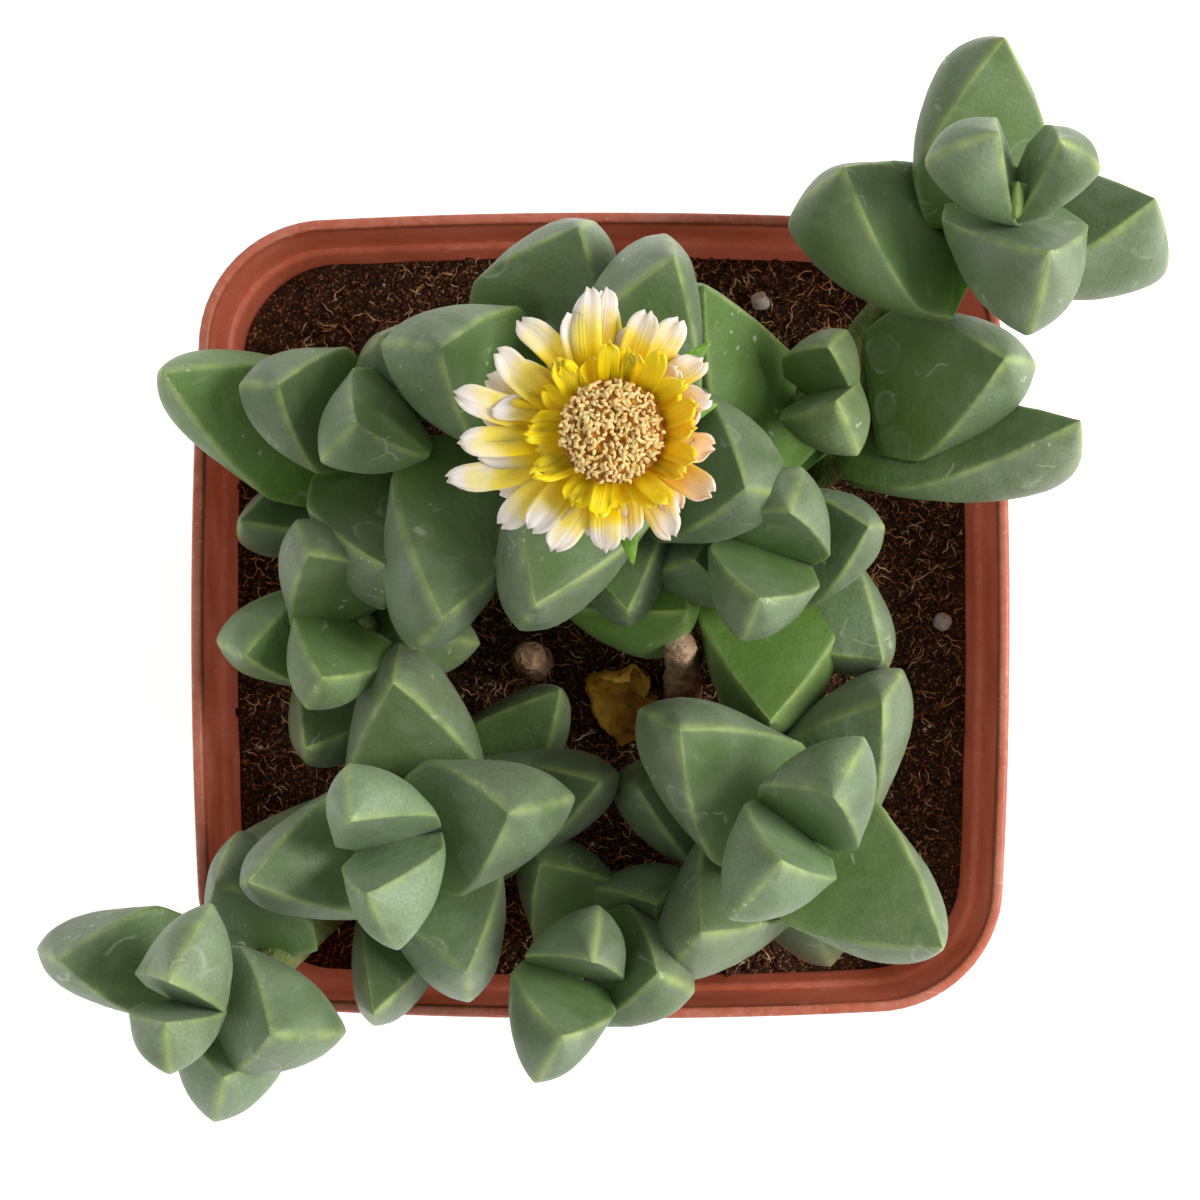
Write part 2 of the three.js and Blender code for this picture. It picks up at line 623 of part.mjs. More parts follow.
addPiece("pot", makePot(), 0xa5513a, 0.5);
addPiece("soil", makeSoil([...stems, ...feet]), 0x241510, 1);

// Each piece of the plant is cut clear of the pieces listed before it.
const bed = [makePot(gap), makeSoil([], gap)];
const taken = [makeCalyx(gap)];
for (const [name, shoot] of Object.entries(shoots)) {
  const pieces = shootPieces(shoot);
  const leaves = cutBy(unionOf(pieces.map((p) => leafSolid(p))), bed);
  const solid = stemSolid(shoot.nodes, 0).add(leaves);
  addPiece(name, cutClear(solid, taken), 0x6f8f6c, 0.5);
  taken.push(...pieces.map((p) => leafSolid(p, gap)), stemSolid(shoot.nodes, gap));
}
for (const [name, nodes] of Object.entries(wood)) {
  addPiece(name, cutClear(woodSolid(nodes, 0), taken), 0x9a7552, 0.8);
}
addPiece("dry_leaf", cutClear(makeDryLeaf(), [...bed, ...taken, ...feet]), 0xb98a3c, 0.8);
addPiece("flower_calyx", makeCalyx(0), 0x6d9440, 0.5);
addPiece("flower_outer_petals", makeOuterPetals(), 0xefe4d6, 0.5);
addPiece("flower_inner_petals", makeInnerPetals(), 0xf2cf10, 0.5);
addPiece("flower_stamens", makeStamens(), 0xe0b565, 0.6);
addPiece("perlite_left", makeGrain(16, 31.3, 0.9), 0xe9e6df, 0.9);
addPiece("perlite_right", makeGrain(34.2, -0.7, 0.9), 0xe9e6df, 0.9);

export default group;
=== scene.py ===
from math import cos, exp, pi, radians, sin, sqrt, tan

import bpy
import numpy as np
from mathutils import Matrix, Vector, noise


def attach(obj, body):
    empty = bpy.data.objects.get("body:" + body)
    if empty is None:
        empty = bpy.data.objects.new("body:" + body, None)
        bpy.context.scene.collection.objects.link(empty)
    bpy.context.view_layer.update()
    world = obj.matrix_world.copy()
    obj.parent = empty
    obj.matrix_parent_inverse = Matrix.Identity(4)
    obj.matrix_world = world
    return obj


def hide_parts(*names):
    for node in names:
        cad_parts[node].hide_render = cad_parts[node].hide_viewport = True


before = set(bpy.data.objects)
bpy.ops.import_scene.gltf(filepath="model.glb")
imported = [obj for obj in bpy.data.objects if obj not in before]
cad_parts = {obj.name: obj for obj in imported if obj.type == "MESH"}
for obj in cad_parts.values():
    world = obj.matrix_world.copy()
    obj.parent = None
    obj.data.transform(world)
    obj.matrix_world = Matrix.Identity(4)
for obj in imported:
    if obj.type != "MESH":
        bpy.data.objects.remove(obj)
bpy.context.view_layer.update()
print("stage: frame loaded")

# All sizes below are in millimetres until a mesh is made. One photo pixel is 0.1 mm at the rim,
# and plan places are in the plane of the rim, as the camera sees them.
mm = 0.001

# The camera, and the plane of the pot's rim that plan places are read in
camera = dict(eye=(4, -4, 478), aim=(0, 1.5, 78), lens=120, sensor=36)
pot = dict(
    rimHalf=41, rimCorner=13, rimHeight=78, sideBow=0.7, pressed=0.985, bandHeight=12,
    bandStep=1.9, baseHalf=30, baseCorner=9, wall=0.5, floorTop=2.4, ledgeRise=1.6,
    drainRadius=3, drainPlace=15.5,
)


def vec(*values):
    return np.array(values, dtype=float)


def unit(v):
    return v / np.linalg.norm(v)


# A smooth random height from about -1 to 1, the same for the same place
def wobble(*place):
    return noise.noise(Vector(place))


def placed(point):
    x, y, z = point
    ex, ey, ez = camera["eye"]
    share = (ez - z) / (ez - pot["rimHeight"])
    return vec(ex + (x - ex) * share, ey + (y - ey) * share, z)


# Colours are given as they look on a screen, and turned into linear light here.
def linear(text):
    parts = [int(text[i : i + 2], 16) / 255 for i in (0, 2, 4)]
    return [c / 12.92 if c <= 0.04045 else ((c + 0.055) / 1.055) ** 2.4 for c in parts] + [1.0]


# Adds a node. An input's value is a number, a hex colour, or the output of another node.
def addNode(tree, kind, inputs=None, out=0, **settings):
    node = tree.nodes.new(kind)
    for key, value in settings.items():
        setattr(node, key, value)
    for key, value in (inputs or {}).items():
        if isinstance(value, bpy.types.NodeSocket):
            tree.links.new(value, node.inputs[key])
        else:
            node.inputs[key].default_value = linear(value) if isinstance(value, str) else value
    return node.outputs[out] if len(node.outputs) else node


# A new material with its shader, what it reads for place, and its constant inputs
def startMaterial(name, radius=None, **constants):
    material = bpy.data.materials.new(name)
    material.use_nodes = True
    tree = material.node_tree
    shader = tree.nodes["Principled BSDF"]
    for key, value in constants.items():
        shader.inputs[key.replace("_", " ")].default_value = value
    if radius:
        shader.inputs["Subsurface Radius"].default_value = radius
    return material, tree, shader, addNode(tree, "ShaderNodeTexCoord", out="Object")


# Soft-edged patches of a given size in millimetres, as a mask from 0 to amount
def patches(place, size, low, high, amount=1.0, detail=2.0, rough=0.5, stretch=None):
    tree = place.id_data
    if stretch:
        place = addNode(tree, "ShaderNodeMapping", {"Vector": place, "Scale": stretch})
    grain = addNode(
        tree, "ShaderNodeTexNoise",
        {"Vector": place, "Scale": 1000 / size, "Detail": detail, "Roughness": rough},
    )
    return addNode(
        tree, "ShaderNodeMapRange", {"Value": grain, "From Min": low, "From Max": high, "To Max": amount}
    )


# Lays tints over a colour, each through its mask. A tuple of masks is multiplied together.
def painted(tree, colour, *layers):
    for mask, tint in layers:
        if isinstance(mask, tuple):
            total = mask[0]
            for other in mask[1:]:
                total = addNode(tree, "ShaderNodeMath", {0: total, 1: other}, operation="MULTIPLY")
            mask = total
        colour = addNode(tree, "ShaderNodeMix", {0: mask, 6: colour, 7: tint}, 2, data_type="RGBA")
    return colour


# Joins the colour, roughness and bumps to the shader. A bump is a mask and its height in millimetres.
def finishMaterial(tree, shader, colour, roughMask, roughness, *bumps):
    tree.links.new(colour, shader.inputs["Base Color"])
    low, high = roughness
    rough = addNode(tree, "ShaderNodeMapRange", {"Value": roughMask, "To Min": low, "To Max": high})
    tree.links.new(rough, shader.inputs["Roughness"])
    normal = None
    for mask, height in bumps:
        inputs = {"Height": mask, "Distance": height * mm}
        if normal:
            inputs["Normal"] = normal
        normal = addNode(tree, "ShaderNodeBump", inputs)
    tree.links.new(normal, shader.inputs["Normal"])


# Leaf skin: thick waxy skin over watery tissue. Grey-green with a bluish bloom, a fuller green near
# the stem, a painted yellow-green light along the edges and keel where light comes through, drop marks and
# rubbed places.
def makeLeafSkin():
    # ridge is the colour of the painted light along the edges and keel
    look = dict(deep="51653f", pale="71865f", grey="848f7a", olive="757a57", full="4c7218", bright="608c22",
                ridge="a6b868", rub="cfd9c2", bloom="93a28a")
    material, tree, shader, place = startMaterial(
        "leaf_skin", (0.45, 1.0, 0.2), Subsurface_Weight=0.1, Subsurface_Scale=1.3 * mm,
        Specular_IOR_Level=0.35, Sheen_Weight=0.08, Sheen_Roughness=0.5,
    )
    ridge, along, tone, inner, rim = [
        addNode(tree, "ShaderNodeAttribute", attribute_name=name, out="Fac")
        for name in ("ridge", "along", "tone", "inner", "rim")
    ]
    # Drop marks: thin pale outlines of dried drops, 2 to 4 mm across, on some places only
    sway = addNode(tree, "ShaderNodeTexNoise", {"Vector": place, "Scale": 1000 / 4}, "Color")
    sway = addNode(tree, "ShaderNodeVectorMath", {0: sway, 1: (2.4 * mm,) * 3}, operation="MULTIPLY")
    swayed = addNode(tree, "ShaderNodeVectorMath", {0: place, 1: sway}, operation="ADD")
    drops = addNode(tree, "ShaderNodeTexVoronoi", {"Vector": swayed, "Scale": 1000 / 6.5}, "Distance")
    someDrops = patches(place, 13, 0.52, 0.6)
    # Hair-thin scratches are drawn 0.12 mm wide, about the finest that shows
    cells = addNode(
        tree, "ShaderNodeTexVoronoi", {"Vector": swayed, "Scale": 1000 / 8.5}, "Distance",
        feature="DISTANCE_TO_EDGE",
    )
    # Masks that rise from 0 at one value to their amount at another
    paler, fuller, nearStem, innerGreen, greyRim, inDrop, pastRim, hair = [
        addNode(
            tree, "ShaderNodeMapRange",
            {"Value": value, "From Min": low, "From Max": high, "To Max": amount},
        )
        for value, low, high, amount in (
            (tone, 0.0, 1.0, 1.0), (tone, 0.0, -1.0, 1.0), (along, 0.6, 0.0, 0.8), (inner, 0.0, 1.0, 0.3),
            (rim, 0.0, 1.0, 0.55), (drops, 0.32, 0.28, 1.0), (drops, 0.24, 0.28, 1.0),
            (cells, 0.014, 0.006, 0.32),
        )
    ]
    fleck = patches(place, 0.8, 0.64, 0.7, 0.75, 2, 0.7)
    worn = patches(place, 9, 0.5, 0.62)
    grain = patches(place, 0.35, 0.3, 0.7, 0.3, 1)
    colour = painted(
        tree,
        look["deep"],
        (patches(place, 9, 0.32, 0.66, 1, 3), look["pale"]),
        (patches(place, 14, 0.5, 0.68, 0.6, 2), look["olive"]),
        (patches(place, 5, 0.46, 0.72, 0.5, 4, 0.6), look["bloom"]),
        ((greyRim, patches(place, 6, 0.3, 0.6)), look["grey"]),
        (innerGreen, look["full"]),
        (nearStem, look["full"]),
        ((paler, patches(place, 6, 0.2, 0.5, 0.85)), "9db891"),
        (fuller, look["bright"]),
        (grain, look["deep"]),
        ((inDrop, someDrops, patches(place, 3, 0.3, 0.6, 0.18)), look["bloom"]),
        ((inDrop, pastRim, someDrops, patches(place, 2, 0.4, 0.62, 0.24)), look["rub"]),
        # Painted highlight: a yellow-green line along the edges and keel, standing in for light shining
        # through them
        ((ridge, patches(place, 3, 0.25, 0.65, 0.75, 3)), look["ridge"]),
        ((hair, patches(place, 4.5, 0.62, 0.68)), look["rub"]),
        ((ridge, fleck, worn), look["rub"]),
        ((patches(place, 1.1, 0.7, 0.74, 0.5), worn), look["rub"]),
    )
    finishMaterial(
        tree, shader, colour, patches(place, 2.5, 0.3, 0.7), (0.42, 0.6),
        (patches(place, 0.4, 0.2, 0.8), 0.035), (patches(place, 3, 0.2, 0.8), 0.12),
    )
    return material


# Bark, green and young or grown to brown wood: cracks run along the stem
def makeBark(name, light, dark, crack):
    material, tree, shader, place = startMaterial(name, Specular_IOR_Level=0.3)
    grain = patches(place, 1.4, 0.35, 0.65, 1, 4, 0.65, (1, 1, 0.16))
    colour = painted(tree, dark, (grain, light), (patches(place, 3.3, 0.5, 0.7, 0.6), crack))
    finishMaterial(tree, shader, colour, grain, (0.85, 0.65), (grain, 0.3))
    return material


# Thermoformed polypropylene half a millimetre thick, terracotta coloured. It lets light through, and
# has rubbed edges, water stains and fine scratches. Its inside walls glow with painted light that stands in
# for light coming through the wall, and its lip and ledge edge carry a painted highlight mixed with the
# rubbed wear.
def makePotPlastic():
    material, tree, shader, place = startMaterial(
        "pot_plastic", (1.0, 0.7, 0.6), Specular_IOR_Level=0.45, Subsurface_Weight=0.15,
        Subsurface_Scale=0.6 * mm,
    )
    ridge, inside = [
        addNode(tree, "ShaderNodeAttribute", attribute_name=name, out="Fac") for name in ("ridge", "inside")
    ]
    # Painted glow: the inside walls emit a dull red light, standing in for light that comes through the thin
    # wall
    painted_glow_strength = addNode(tree, "ShaderNodeMath", {0: inside, 1: 0.4}, operation="MULTIPLY")
    tree.links.new(painted_glow_strength, shader.inputs["Emission Strength"])
    colour = painted(
        tree,
        "b05338",
        (patches(place, 22, 0.35, 0.65, 1, 3), "c2664a"),
        (patches(place, 1.2, 0.45, 0.75, 0.3, 3, 0.6, (1, 1, 0.08)), "9a452c"),
        (patches(place, 7, 0.52, 0.76, 0.5, 5, 0.6), "c98d7a"),
        # Pale tint on the lip and the ledge's edge: partly rubbed wear, partly a painted highlight where the
        # edges catch light
        ((ridge, patches(place, 1.3, 0.3, 0.7, 0.85, 3)), "cf8670"),
        (patches(place, 2.4, 0.69, 0.73, 0.4, 2, 0.5, (1, 9, 1)), "e0b6a8"),
        (patches(place, 0.5, 0.62, 0.7, 0.2, 1), "e0b6a8"),
    )
    # The colour of the painted glow on the inside walls
    painted_glow_colour = painted(tree, "8a4029", (patches(place, 9, 0.35, 0.65, 1, 3), "a45440"))
    tree.links.new(painted_glow_colour, shader.inputs["Emission Color"])
    finishMaterial(
        tree, shader, colour, patches(place, 3.3, 0.3, 0.7, 1, 4), (0.34, 0.5),
        (patches(place, 0.6, 0.2, 0.8, 1, 3), 0.02), (patches(place, 12, 0.2, 0.8), 0.15),
    )
    return material


# Peat: near black when moist, with brown crumbs and straw-coloured chips
def makePeat(name, dark, brown, chip, chipFrom):
    material, tree, shader, place = startMaterial(name, Specular_IOR_Level=0.3)
    grain = patches(place, 1.1, 0.35, 0.7, 1, 5, 0.7)
    colour = painted(
        tree,
        dark,
        (grain, brown),
        (patches(place, 0.3, chipFrom, chipFrom + 0.06, 0.9), chip),
        (patches(place, 0.4, chipFrom + 0.05, chipFrom + 0.1, 0.9), "d9a468"),
    )
    finishMaterial(tree, shader, colour, grain, (0.8, 0.95), (grain, 0.6))
    return material


# Dry moss and root fibres, from dark brown to straw by their place
def makeFibre(name, dark, brown, straw):
    material, tree, shader, place = startMaterial(name, Specular_IOR_Level=0.35)
    pick = patches(place, 1.3, 0.38, 0.56, 1, 1)
    colour = painted(tree, dark, (pick, brown), (patches(place, 1.1, 0.5, 0.6, 1, 1), straw))
    finishMaterial(tree, shader, colour, pick, (0.6, 0.8), (patches(place, 0.25, 0.3, 0.7), 0.05))
    return material


# Petal: thin satin tissue with lengthwise veins. Attributes give how far along and across a point lies.
def makePetalSkin(name, foot, middle, edge, warm, veined, bleached, span):
    material, tree, shader, place = startMaterial(
        name, (1.0, 0.85, 0.5), Subsurface_Weight=0.5, Subsurface_Scale=1.4 * mm, Specular_IOR_Level=0.3,
        Sheen_Weight=0.03,
    )
    along, across, kind, warmth = [
        addNode(tree, "ShaderNodeAttribute", attribute_name=part, out="Fac")
        for part in ("along", "across", "kind", "warm")
    ]
    sway = patches(place, 2.4, 0.3, 0.7, 0.2)
    shifted = addNode(tree, "ShaderNodeMath", {0: along, 1: sway}, operation="SUBTRACT")
    first, second, third = span
    toMiddle, toEdge = [
        addNode(tree, "ShaderNodeMapRange", {"Value": shifted, "From Min": low, "From Max": high})
        for low, high in ((first, second), (second, third))
    ]
    lane = addNode(tree, "ShaderNodeCombineXYZ", {0: across, 1: kind})
    vein = addNode(tree, "ShaderNodeTexNoise", {"Vector": lane, "Scale": 8.0, "Detail": 2.0})
    vein = addNode(tree, "ShaderNodeMapRange", {"Value": vein, "From Min": 0.4, "From Max": 0.64})
    faint = addNode(tree, "ShaderNodeMath", {0: vein, 1: 0.35}, operation="MULTIPLY")
    colour = painted(
        tree, foot, (toMiddle, middle), (toEdge, edge), (warmth, warm), ((faint, toEdge), veined),
        ((patches(place, 1.5, 0.5, 0.68, 0.5), toEdge), bleached),
    )
    finishMaterial(tree, shader, colour, vein, (0.42, 0.6), (vein, 0.05))
    return material


# Matt living or dry matter: anthers, filaments, perlite, sepals and the dried leaf
def makeMatt(name, low, high, spot, size, rough, depth, sheer=0.0):
    material, tree, shader, place = startMaterial(
        name, Specular_IOR_Level=0.3, Subsurface_Weight=sheer, Subsurface_Scale=0.8 * mm
    )
    grain = patches(place, size, 0.35, 0.65, 1, 4, 0.6)
    colour = painted(tree, low, (grain, high), (patches(place, size * 0.6, 0.58, 0.7, 0.7), spot))
    finishMaterial(tree, shader, colour, grain, (rough, rough + 0.1), (grain, depth))
    return material


materials = dict(
    leaf=makeLeafSkin(),
    greenStem=makeBark("green_stem", "7d8c50", "5a6a34", "9a8558"),
    wood=makeBark("old_wood", "c09a78", "7a5638", "dcc3a6"),
    pot=makePotPlastic(),
    peat=makePeat("peat", "1e140e", "62412c", "cf8a54", 0.6),
    crumb=makePeat("peat_crumb", "281b12", "70492f", "dc9a60", 0.58),
    fibre=makeFibre("peat_fibre", "8f5630", "eaa768", "ffe0b4"),
    straw=makeFibre("straw", "e0b478", "f8dcaa", "fff0d0"),
    whitePetal=makePetalSkin(
        "white_petal", "fdd200", "fbdf62", "f6e8dc", "f0a460", "dcc0b0", "fdf8f2", (0.34, 0.54, 0.78)
    ),
    yellowPetal=makePetalSkin(
        "yellow_petal", "f2b400", "ffd200", "ffe010", "f59c1e", "eab408", "ffec60", (0.05, 0.3, 0.9)
    ),
    anther=makeMatt("anther", "efc272", "f9e2a6", "cf8e3c", 0.6, 0.55, 0.06, 0.2),
    filament=makeMatt("filament", "94500f", "cc9030", "6e3a0a", 0.7, 0.55, 0.3, 0.2),
    perlite=makeMatt("perlite", "d9d5cc", "f4f1ea", "a39a8c", 1.1, 0.85, 0.3),
    dryLeaf=makeMatt("dry_leaf_skin", "a5761f", "d3a53c", "6b4416", 2.4, 0.7, 0.3),
    sepal=makeMatt("sepal_skin", "4f7d1e", "6f9a30", "8fb552", 1.4, 0.45, 0.06, 0.15),
)
print("stage: materials made")


def addObject(name, data):
    made = bpy.data.objects.new(name, data)
    bpy.context.scene.collection.objects.link(made)
    return made


# Applies a piece's one modifier to its mesh
def applied(piece):
    mesh = bpy.data.meshes.new_from_object(piece.evaluated_get(bpy.context.evaluated_depsgraph_get()))
    piece.modifiers.clear()
    piece.data = mesh


# One object from lists of points in millimetres and faces, with a value for each point where given
def makeObject(name, points, faces, slots, values=None, faceSlots=None, smooth=True):
    mesh = bpy.data.meshes.new(name)
    mesh.from_pydata((np.array(points) * mm).tolist(), [], faces)
    for material in slots:
        mesh.materials.append(material)
    if faceSlots is not None:
        mesh.polygons.foreach_set("material_index", faceSlots)
    for key, numbers in (values or {}).items():
        mesh.attributes.new(key, "FLOAT", "POINT").data.foreach_set("value", numbers)
    mesh.polygons.foreach_set("use_smooth", [smooth] * len(mesh.polygons))
    mesh.validate()
    mesh.update()
    return addObject(name, mesh)


def settle(piece, slot, *nodes):
    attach(piece, "root")
    if nodes:
        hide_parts(*nodes)


# Gathers the points, faces and point values of many small shapes
class Heap:
    def __init__(self, *keys):
        self.points, self.faces, self.slots = [], [], []
        self.values = {key: [] for key in keys}

    def add(self, points, faces, slot=0, **values):
        start = len(self.points)
        self.points.extend([tuple(p) for p in points])
        self.faces.extend([tuple(start + i for i in face) for face in faces])
        self.slots.extend([slot] * len(faces))
        for key, numbers in self.values.items():
            given = values[key]
            numbers.extend([given] * len(points) if np.isscalar(given) else list(given))

    def make(self, name, slots):
        return makeObject(name, self.points, self.faces, slots, self.values, self.slots)


# Faces of rings of points closed by one point at each end
def ringFaces(rings, around, turned=False):
    faces = []
    for i in range(around):
        j = (i + 1) % around
        faces.append((0, 1 + j, 1 + i))
        for r in range(rings - 1):
            a, b = 1 + r * around, 1 + (r + 1) * around
            faces.append((a + i, a + j, b + j, b + i))
        last = 1 + (rings - 1) * around
        faces.append((last + i, last + j, 1 + rings * around))
    return [face[::-1] for face in faces] if turned else faces


# What a user would change about the leaves and their stems
leafShape = dict(
    widestAt=0.36, chinAt=0.72, depthShare=0.74, bow=0.12, tipPower=0.86, upShare=0.6,
    sidePoints=17, stations=30, dent=0.2, sideBulge=(0.2, 0.08, 0.95), edgesFrom=0.24,
    edgePower=1.3, ridgeReach=0.4, rimReach=2.2,
)
stem = dict(radius=1.7, growth=0.12, sides=16)

# Leaf and stem places as read from the photograph: plan x and y in the rim's plane, and height.
# nodes run from the youngest to the foot in the soil, and a leaf names the node it grows from.
shoots = {
    "shoot_flower": dict(
        nodes=[(1, 18, 97), (0.8, 17.6, 90), (0.5, 17, 83.5), (0.8, 15, 77), (3, 6, 69), (4, 2, 61)],
        leaves=[
            dict(node=0, tip=(7.4, 35.9, 106), width=15, chin=(5.8, 38.9)),
            dict(node=0, tip=(-6.5, 1, 106), width=15, chin=(-8.2, -1.5)),
            dict(node=1, base=(-7.5, 22.5, 91), tip=(-15.9, 26.7, 104), width=15, chin=(-21.7, 27)),
            dict(node=1, base=(5, 16, 90), tip=(14.5, 12.7, 103), width=16, chin=(16.8, 12.4)),
            dict(node=2, base=(-8, 26, 87), tip=(-2.2, 38.8, 95), width=15, depth=0.8),
            dict(node=2, tip=(2.7, 0.4, 93), width=13),
            dict(node=2, base=(-12.5, 16, 89), tip=(-15.8, -0.3, 102), width=15, chin=(-18.9, -2.6)),
            dict(node=3, base=(-1, 9, 81), tip=(8.6, 0.5, 87), width=17),
            dict(node=3, base=(-12, 24, 84), tip=(-22, 28, 92), width=13, depth=0.8),
            dict(node=3, tip=(12, 30, 86), width=13, depth=0.8),
        ],
    ),
    "shoot_corner_right": dict(
        nodes=[
            (41.5, 43.2, 99), (40.5, 41, 93.5), (38.5, 39, 88), (33, 34, 84), (26.3, 27, 81.5),
            (24.5, 18, 79.5), (21, 14, 72), (17, 11, 61),
        ],
        leaves=[
            dict(node=0, tip=(41.8, 43.4, 107), width=4.5, heading=(0, 1, 0.6)),
            dict(node=0, tip=(40, 48.3, 112), width=11, chin=(32.5, 45.2)),
            dict(node=0, tip=(45.8, 47.7, 112), width=10.5, chin=(49.4, 44.5)),
            dict(node=1, tip=(45, 36.5, 109), width=15, chin=(42.6, 27.9)),
            dict(node=2, tip=(40.5, 57.8, 96), width=15.5, depth=0.8, roll=-18),
            dict(node=2, base=(35.5, 35.5, 88), tip=(24.5, 44.8, 99), width=18, chin=(19.1, 38.3)),
            dict(node=2, tip=(55.5, 41.7, 97), width=15, chin=(55.6, 33.5)),
            dict(node=4, base=(27, 22.2, 84), tip=(40.4, 25.6, 96), width=15.5, chin=(43, 24.6)),
            dict(node=5, base=(26, 17.4, 81), tip=(48, 19.5, 95), width=13, depth=0.85, roll=-18),
            dict(node=5, base=(20, 14.5, 79.5), tip=(10.5, 33, 94), width=14),
        ],
    ),
    "shoot_axil": dict(
        nodes=[(21.2, 22, 88), (21.4, 20.5, 84), (22, 19, 81)],
        leaves=[
            dict(node=0, tip=(22.8, 26.7, 96), width=8.5, chin=(24, 27.5)),
            dict(node=0, tip=(23.6, 21.5, 97), width=9, chin=(25.8, 15.8)),
        ],
    ),
    "shoot_front_left": dict(
        nodes=[(-20, -22.5, 95), (-18.5, -22, 87.5), (-17.5, -22, 80.5), (-16.5, -22, 74), (-15, -21, 61)],
        leaves=[
            dict(node=0, tip=(-25, -20.7, 107), width=11, chin=(-25, -14.8)),
            dict(node=0, tip=(-23.4, -27.8, 106), width=11, chin=(-20, -33.5)),
            dict(node=1, tip=(-9.2, -19.9, 101), width=14, chin=(-2.6, -18.2)),
            dict(node=1, tip=(-35.2, -26.7, 97), width=14, depth=0.9),
            dict(node=2, tip=(-20.7, -6.8, 94), width=15, chin=(-19.6, -3.2)),
            dict(node=2, tip=(-13.2, -35.3, 92), width=14, chin=(-13.4, -38)),
            dict(node=3, tip=(0, -16.7, 88), width=13, depth=0.9),
            dict(node=3, tip=(-37, -25.5, 87), width=13),
            dict(node=3, tip=(-22.7, -39.8, 87), width=12),
            dict(node=3, tip=(-4, -7.5, 80), width=13),
        ],
    ),
    "shoot_front_right": dict(
        nodes=[
            (19.7, -21.4, 95), (19, -21.7, 87), (18.5, -22.1, 79.5), (18.2, -22.4, 72.5),
            (18, -22.5, 61),
        ],
        leaves=[
            dict(node=0, tip=(23.3, -18.2, 107.5), width=11.5, chin=(26.3, -12.2)),
            dict(node=0, tip=(18.2, -24.5, 107), width=11.5, chin=(12.7, -30.5)),
            dict(node=1, tip=(8, -11.5, 100.5), width=15, chin=(4.3, -10)),
            dict(node=1, tip=(34.2, -33.2, 95), width=15.5, depth=0.75),
            dict(node=2, tip=(10.1, -31.7, 94), width=13.5, chin=(6.3, -36)),
            dict(node=2, tip=(28.2, -8.8, 93), width=13.5, chin=(29.7, -6)),
            dict(node=3, tip=(4, -17.5, 84), width=14),
            dict(node=3, tip=(22, -32, 82), width=12),
        ],
    ),
    "shoot_right": dict(
        nodes=[(16.8, 6.4, 91), (17, 6.2, 84), (17.3, 5.5, 78), (17.5, 5, 72), (17, 3.5, 61)],
        leaves=[
            dict(node=0, tip=(19, 10.2, 102), width=11.5, chin=(19.8, 13.9)),
            dict(node=0, tip=(16, 1.7, 102), width=11.5, chin=(14, -2.7)),
            dict(node=1, tip=(26.8, 8.8, 92), width=12.5, chin=(27.4, 8.6)),
            dict(node=1, tip=(9.5, 5.5, 92), width=11),
            dict(node=2, tip=(17, -10.6, 88), width=16),
            dict(node=2, tip=(28.2, -4.5, 85), width=13),
        ],
    ),
    "shoot_corner_left": dict(
        nodes=[
            (-41.8, -38.7, 95), (-38.8, -38.5, 89), (-35.8, -37.5, 84.5), (-32.5, -34.5, 81.5),
            (-28, -30, 74), (-26, -28, 61),
        ],
        leaves=[
            dict(node=0, tip=(-43.2, -36.7, 106), width=9.8, chin=(-38.8, -28.8)),
            dict(node=0, tip=(-43.5, -40.7, 106), width=9.8, chin=(-43, -45.9)),
            dict(node=1, tip=(-33, -42, 103), width=13, chin=(-25.3, -41.5)),
            dict(node=1, base=(-41, -35, 88), tip=(-54.2, -34.5, 96), width=11.5, chin=(-55.6, -33.2)),
            dict(node=2, tip=(-37.6, -46.2, 96), width=13, chin=(-38.5, -50.4)),
            dict(node=3, tip=(-38.5, -27, 90), width=12),
        ],
    ),
    "shoot_front": dict(
        nodes=[(-3.3, -35.8, 86), (-1.5, -34.5, 80), (-0.5, -32, 75), (0.5, -28, 61)],
        leaves=[
            dict(node=0, tip=(-3.8, -42, 98), width=11, chin=(-6.6, -46.6)),
            dict(node=0, tip=(-0.8, -34.7, 98), width=10, chin=(-0.2, -28.8)),
            dict(node=1, tip=(5.7, -35.8, 92), width=13, chin=(9.2, -37.6)),
            dict(node=2, tip=(5.6, -29, 84), width=10),
            dict(node=2, tip=(-6, -25, 83), width=11),
        ],
    ),
    "shoot_back_left": dict(
        nodes=[(-19.5, 21, 91), (-22, 19.5, 86), (-23, 17, 80), (-19, 15, 73), (-15, 12, 61)],
        leaves=[
            dict(node=0, tip=(-24.3, 19.3, 102), width=11.5, chin=(-27.9, 15.2)),
            dict(node=1, base=(-24.5, 19.5, 86), tip=(-32.2, 23, 97), width=13, chin=(-36.1, 22.8)),
            dict(node=1, base=(-24, 14.5, 85), tip=(-21.5, 5, 95), width=12),
            dict(node=2, base=(-25, 15.8, 81), tip=(-43.8, 24.3, 92), width=14.5, depth=0.9),
            dict(node=3, tip=(-36, 9.5, 84), width=12),
        ],
    ),
    "shoot_left": dict(
        nodes=[(-24.8, -0.6, 85), (-23.5, -1.5, 79.5), (-22, -2, 74), (-19, -2.5, 61)],
        leaves=[
            dict(node=0, tip=(-29.2, 6, 95), width=11, chin=(-30.1, 9.3)),
            dict(node=0, tip=(-27.8, -6.2, 96), width=11, chin=(-28.8, -8.4)),
            dict(node=1, tip=(-35.6, -4.1, 89), width=12, chin=(-37.7, -2.2)),
            dict(node=1, tip=(-17, -2, 88), width=11),
            dict(node=2, tip=(-29.5, -13.3, 84), width=13, chin=(-28.2, -14.4)),
            dict(node=2, tip=(-23, 8, 82), width=12),
        ],
    ),
}
